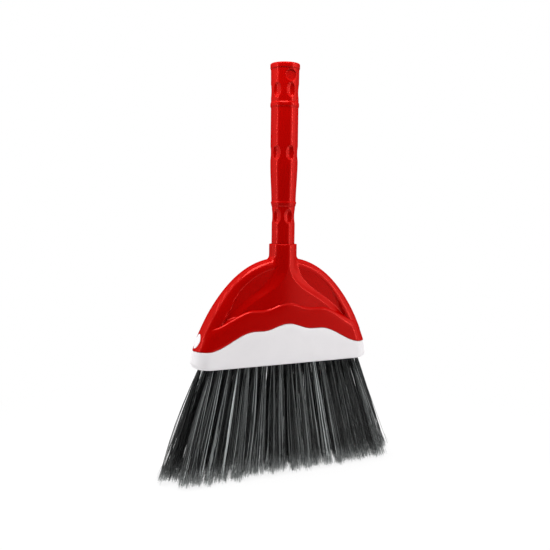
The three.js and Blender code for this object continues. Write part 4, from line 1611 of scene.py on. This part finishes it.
@dataclass(frozen=True)
class Softbox:
    """Flat diffused lamp that faces the broom."""

    name: str
    azimuth: float  # degrees to the right of the camera, seen from the broom
    elevation: float  # degrees
    distance: float  # metres
    width: float  # metres
    height: float  # metres
    radiance: float  # 1 shows as white


@dataclass
class Studio:
    """Pale floor, white surround and soft lamps."""

    view: Viewpoint
    floor_radius: float = 0.45
    shadow_near: float = 0.2  # radius of the floor within which shadows show most
    shadow_far: float = 0.95  # share of the floor's radius past which none shows
    floor_colour: str = "#f4f4f4"
    shadow_share: float = 0.14  # how much of the floor's own light shows to the camera
    front: float = 0.015  # light of the unlit room behind the camera
    side: float = 0.85
    side_span: tuple[float, float] = (48.0, 58.0)  # degrees from the camera's heading, dim to lit
    behind: float = 1.1
    behind_span: tuple[float, float] = (0.1, -0.35)  # cosines of the headings where it brightens
    far_middle: float = 0.3  # straight behind, as dim as a grey card
    card_span: tuple[float, float] = (128.0, 145.0)  # degrees from the camera's heading, lit to dim
    lamps: tuple[Softbox, ...] = (
        Softbox("left_box", -81.0, 4.0, 1.25, 0.85, 1.2, 0.55),
        Softbox("right_box", 81.0, 4.0, 1.25, 0.85, 1.2, 1.15),
        Softbox("left_strip", -65.0, 0.0, 1.2, 0.03, 1.3, 14.0),
        Softbox("right_strip", 68.0, 0.0, 1.2, 0.03, 1.3, 14.0),
        Softbox("left_top_first", -78.0, 36.0, 1.3, 0.9, 0.07, 3.7),
        Softbox("left_top_second", -75.0, 44.0, 1.3, 0.9, 0.07, 3.7),
        Softbox("left_top_third", -72.0, 52.0, 1.3, 0.9, 0.07, 3.7),
        Softbox("left_top_fourth", -69.0, 60.0, 1.3, 0.9, 0.07, 3.7),
        Softbox("near_top", 0.0, 72.0, 0.46, 0.3, 0.2, 11.0),
    )

    def build_floor(self) -> bpy.types.Object:
        """Makes the round floor, pale and fading to white at its edge.

        Returns:
            The floor.
        """
        material, tree = new_material("studio_paper_matt")
        place = add_node(tree, "ShaderNodeTexCoord").outputs["Object"]
        away = add_node(tree, "ShaderNodeVectorMath", {0: place}, operation="LENGTH").outputs["Value"]
        shadow = add_node(
            tree,
            "ShaderNodeMapRange",
            {
                0: away,
                1: self.shadow_near,
                2: self.floor_radius * self.shadow_far,
                3: 1 - self.shadow_share,
                4: 1.0,
            },
            interpolation_type="SMOOTHSTEP",
        )
        path = add_node(tree, "ShaderNodeLightPath")
        seen = add_node(
            tree,
            "ShaderNodeMath",
            {0: path.outputs["Is Camera Ray"], 1: shadow.outputs[0]},
            operation="MULTIPLY",
        )
        paper = add_node(tree, "ShaderNodeBsdfDiffuse", {"Color": linear(self.floor_colour)})
        white = add_node(tree, "ShaderNodeEmission", {"Color": (1, 1, 1, 1), "Strength": 1.0})
        both = add_node(
            tree, "ShaderNodeMixShader", {0: seen.outputs[0], 1: paper.outputs[0], 2: white.outputs[0]}
        )
        add_node(tree, "ShaderNodeOutputMaterial", {"Surface": both.outputs[0]})
        rim = circle(self.floor_radius / MM, 0.0, ROUND_STEPS)
        floor = make_piece("floor", rim, [tuple(range(ROUND_STEPS))])
        floor.data.materials.append(material)
        return floor

    def build_world(self) -> None:
        """White to the camera. For the light: dim before the broom, brighter beside and behind it."""
        world = bpy.data.worlds.new("studio_surround")
        world.use_nodes = True
        tree = world.node_tree
        tree.nodes.clear()
        heading = add_node(tree, "ShaderNodeTexCoord").outputs["Generated"]
        front = self.view.toward(0.0, 0.0)
        side_from, side_to = (math.cos(math.radians(angle)) for angle in self.side_span)
        card_from, card_to = (math.cos(math.radians(angle)) for angle in self.card_span)
        behind_from, behind_to = self.behind_span
        facing = add_node(
            tree, "ShaderNodeVectorMath", {0: heading, 1: front}, operation="DOT_PRODUCT"
        ).outputs["Value"]
        beside = add_node(
            tree,
            "ShaderNodeMapRange",
            {0: facing, 1: side_from, 2: side_to, 3: self.front, 4: self.side},
            interpolation_type="SMOOTHSTEP",
        )
        level = add_node(
            tree,
            "ShaderNodeMapRange",
            {0: facing, 1: behind_from, 2: behind_to, 3: 0.0, 4: self.behind - self.side},
        )
        lit = add_node(
            tree, "ShaderNodeMath", {0: beside.outputs[0], 1: level.outputs[0]}, operation="ADD"
        )
        card = add_node(
            tree,
            "ShaderNodeMapRange",
            {0: facing, 1: card_from, 2: card_to, 3: 1.0, 4: self.far_middle},
            interpolation_type="SMOOTHSTEP",
        )
        glow = add_node(
            tree, "ShaderNodeMath", {0: lit.outputs[0], 1: card.outputs[0]}, operation="MULTIPLY"
        )
        room = add_node(tree, "ShaderNodeBackground", {"Color": (1, 1, 1, 1), "Strength": glow.outputs[0]})
        white = add_node(tree, "ShaderNodeBackground", {"Color": (1, 1, 1, 1), "Strength": 1.0})
        path = add_node(tree, "ShaderNodeLightPath")
        both = add_node(
            tree,
            "ShaderNodeMixShader",
            {0: path.outputs["Is Camera Ray"], 1: room.outputs[0], 2: white.outputs[0]},
        )
        add_node(tree, "ShaderNodeOutputWorld", {"Surface": both.outputs[0]})
        bpy.context.scene.world = world

    def build_lamp(self, lamp: Softbox) -> None:
        """Makes one soft lamp that faces the broom.

        Args:
            lamp: its place, size and light.
        """
        data = bpy.data.lights.new(lamp.name, "AREA")
        data.shape = "RECTANGLE"
        data.size, data.size_y = lamp.width, lamp.height
        data.energy = lamp.radiance * math.pi * lamp.width * lamp.height
        box = bpy.data.objects.new(lamp.name, data)
        way = self.view.toward(math.radians(lamp.azimuth), math.radians(lamp.elevation))
        box.location = self.view.target() + lamp.distance * way
        box.rotation_euler = (-way).to_track_quat("-Z", "Y").to_euler()
        box.visible_camera = False
        bpy.context.scene.collection.objects.link(box)

    def build(self) -> None:
        """Makes the floor, the surround and the lamps."""
        self.build_floor()
        self.build_world()
        for lamp in self.lamps:
            self.build_lamp(lamp)
        log.info("studio: %d lamps", len(self.lamps))


def main() -> None:
    """Builds the sub-assemblies in order, then the studio."""
    logging.basicConfig(level=logging.INFO, format="%(name)s: %(message)s")
    bpy.context.scene.view_settings.view_transform = "Standard"
    view = Viewpoint()
    view.build()
    red, white = RED_GLOSS.material(), WHITE_SATIN.material()
    form = HeadForm()
    hood = Hood(form)
    hood.build(red)
    BrushBlock(form, hood).build(white)
    BristleTrim(form).build(CHARCOAL_FILAMENT.material())
    handle = Handle(form)
    handle.build(red)
    EndCap(handle).build(red)
    Studio(view).build()


if __name__ == "__main__":
    main()
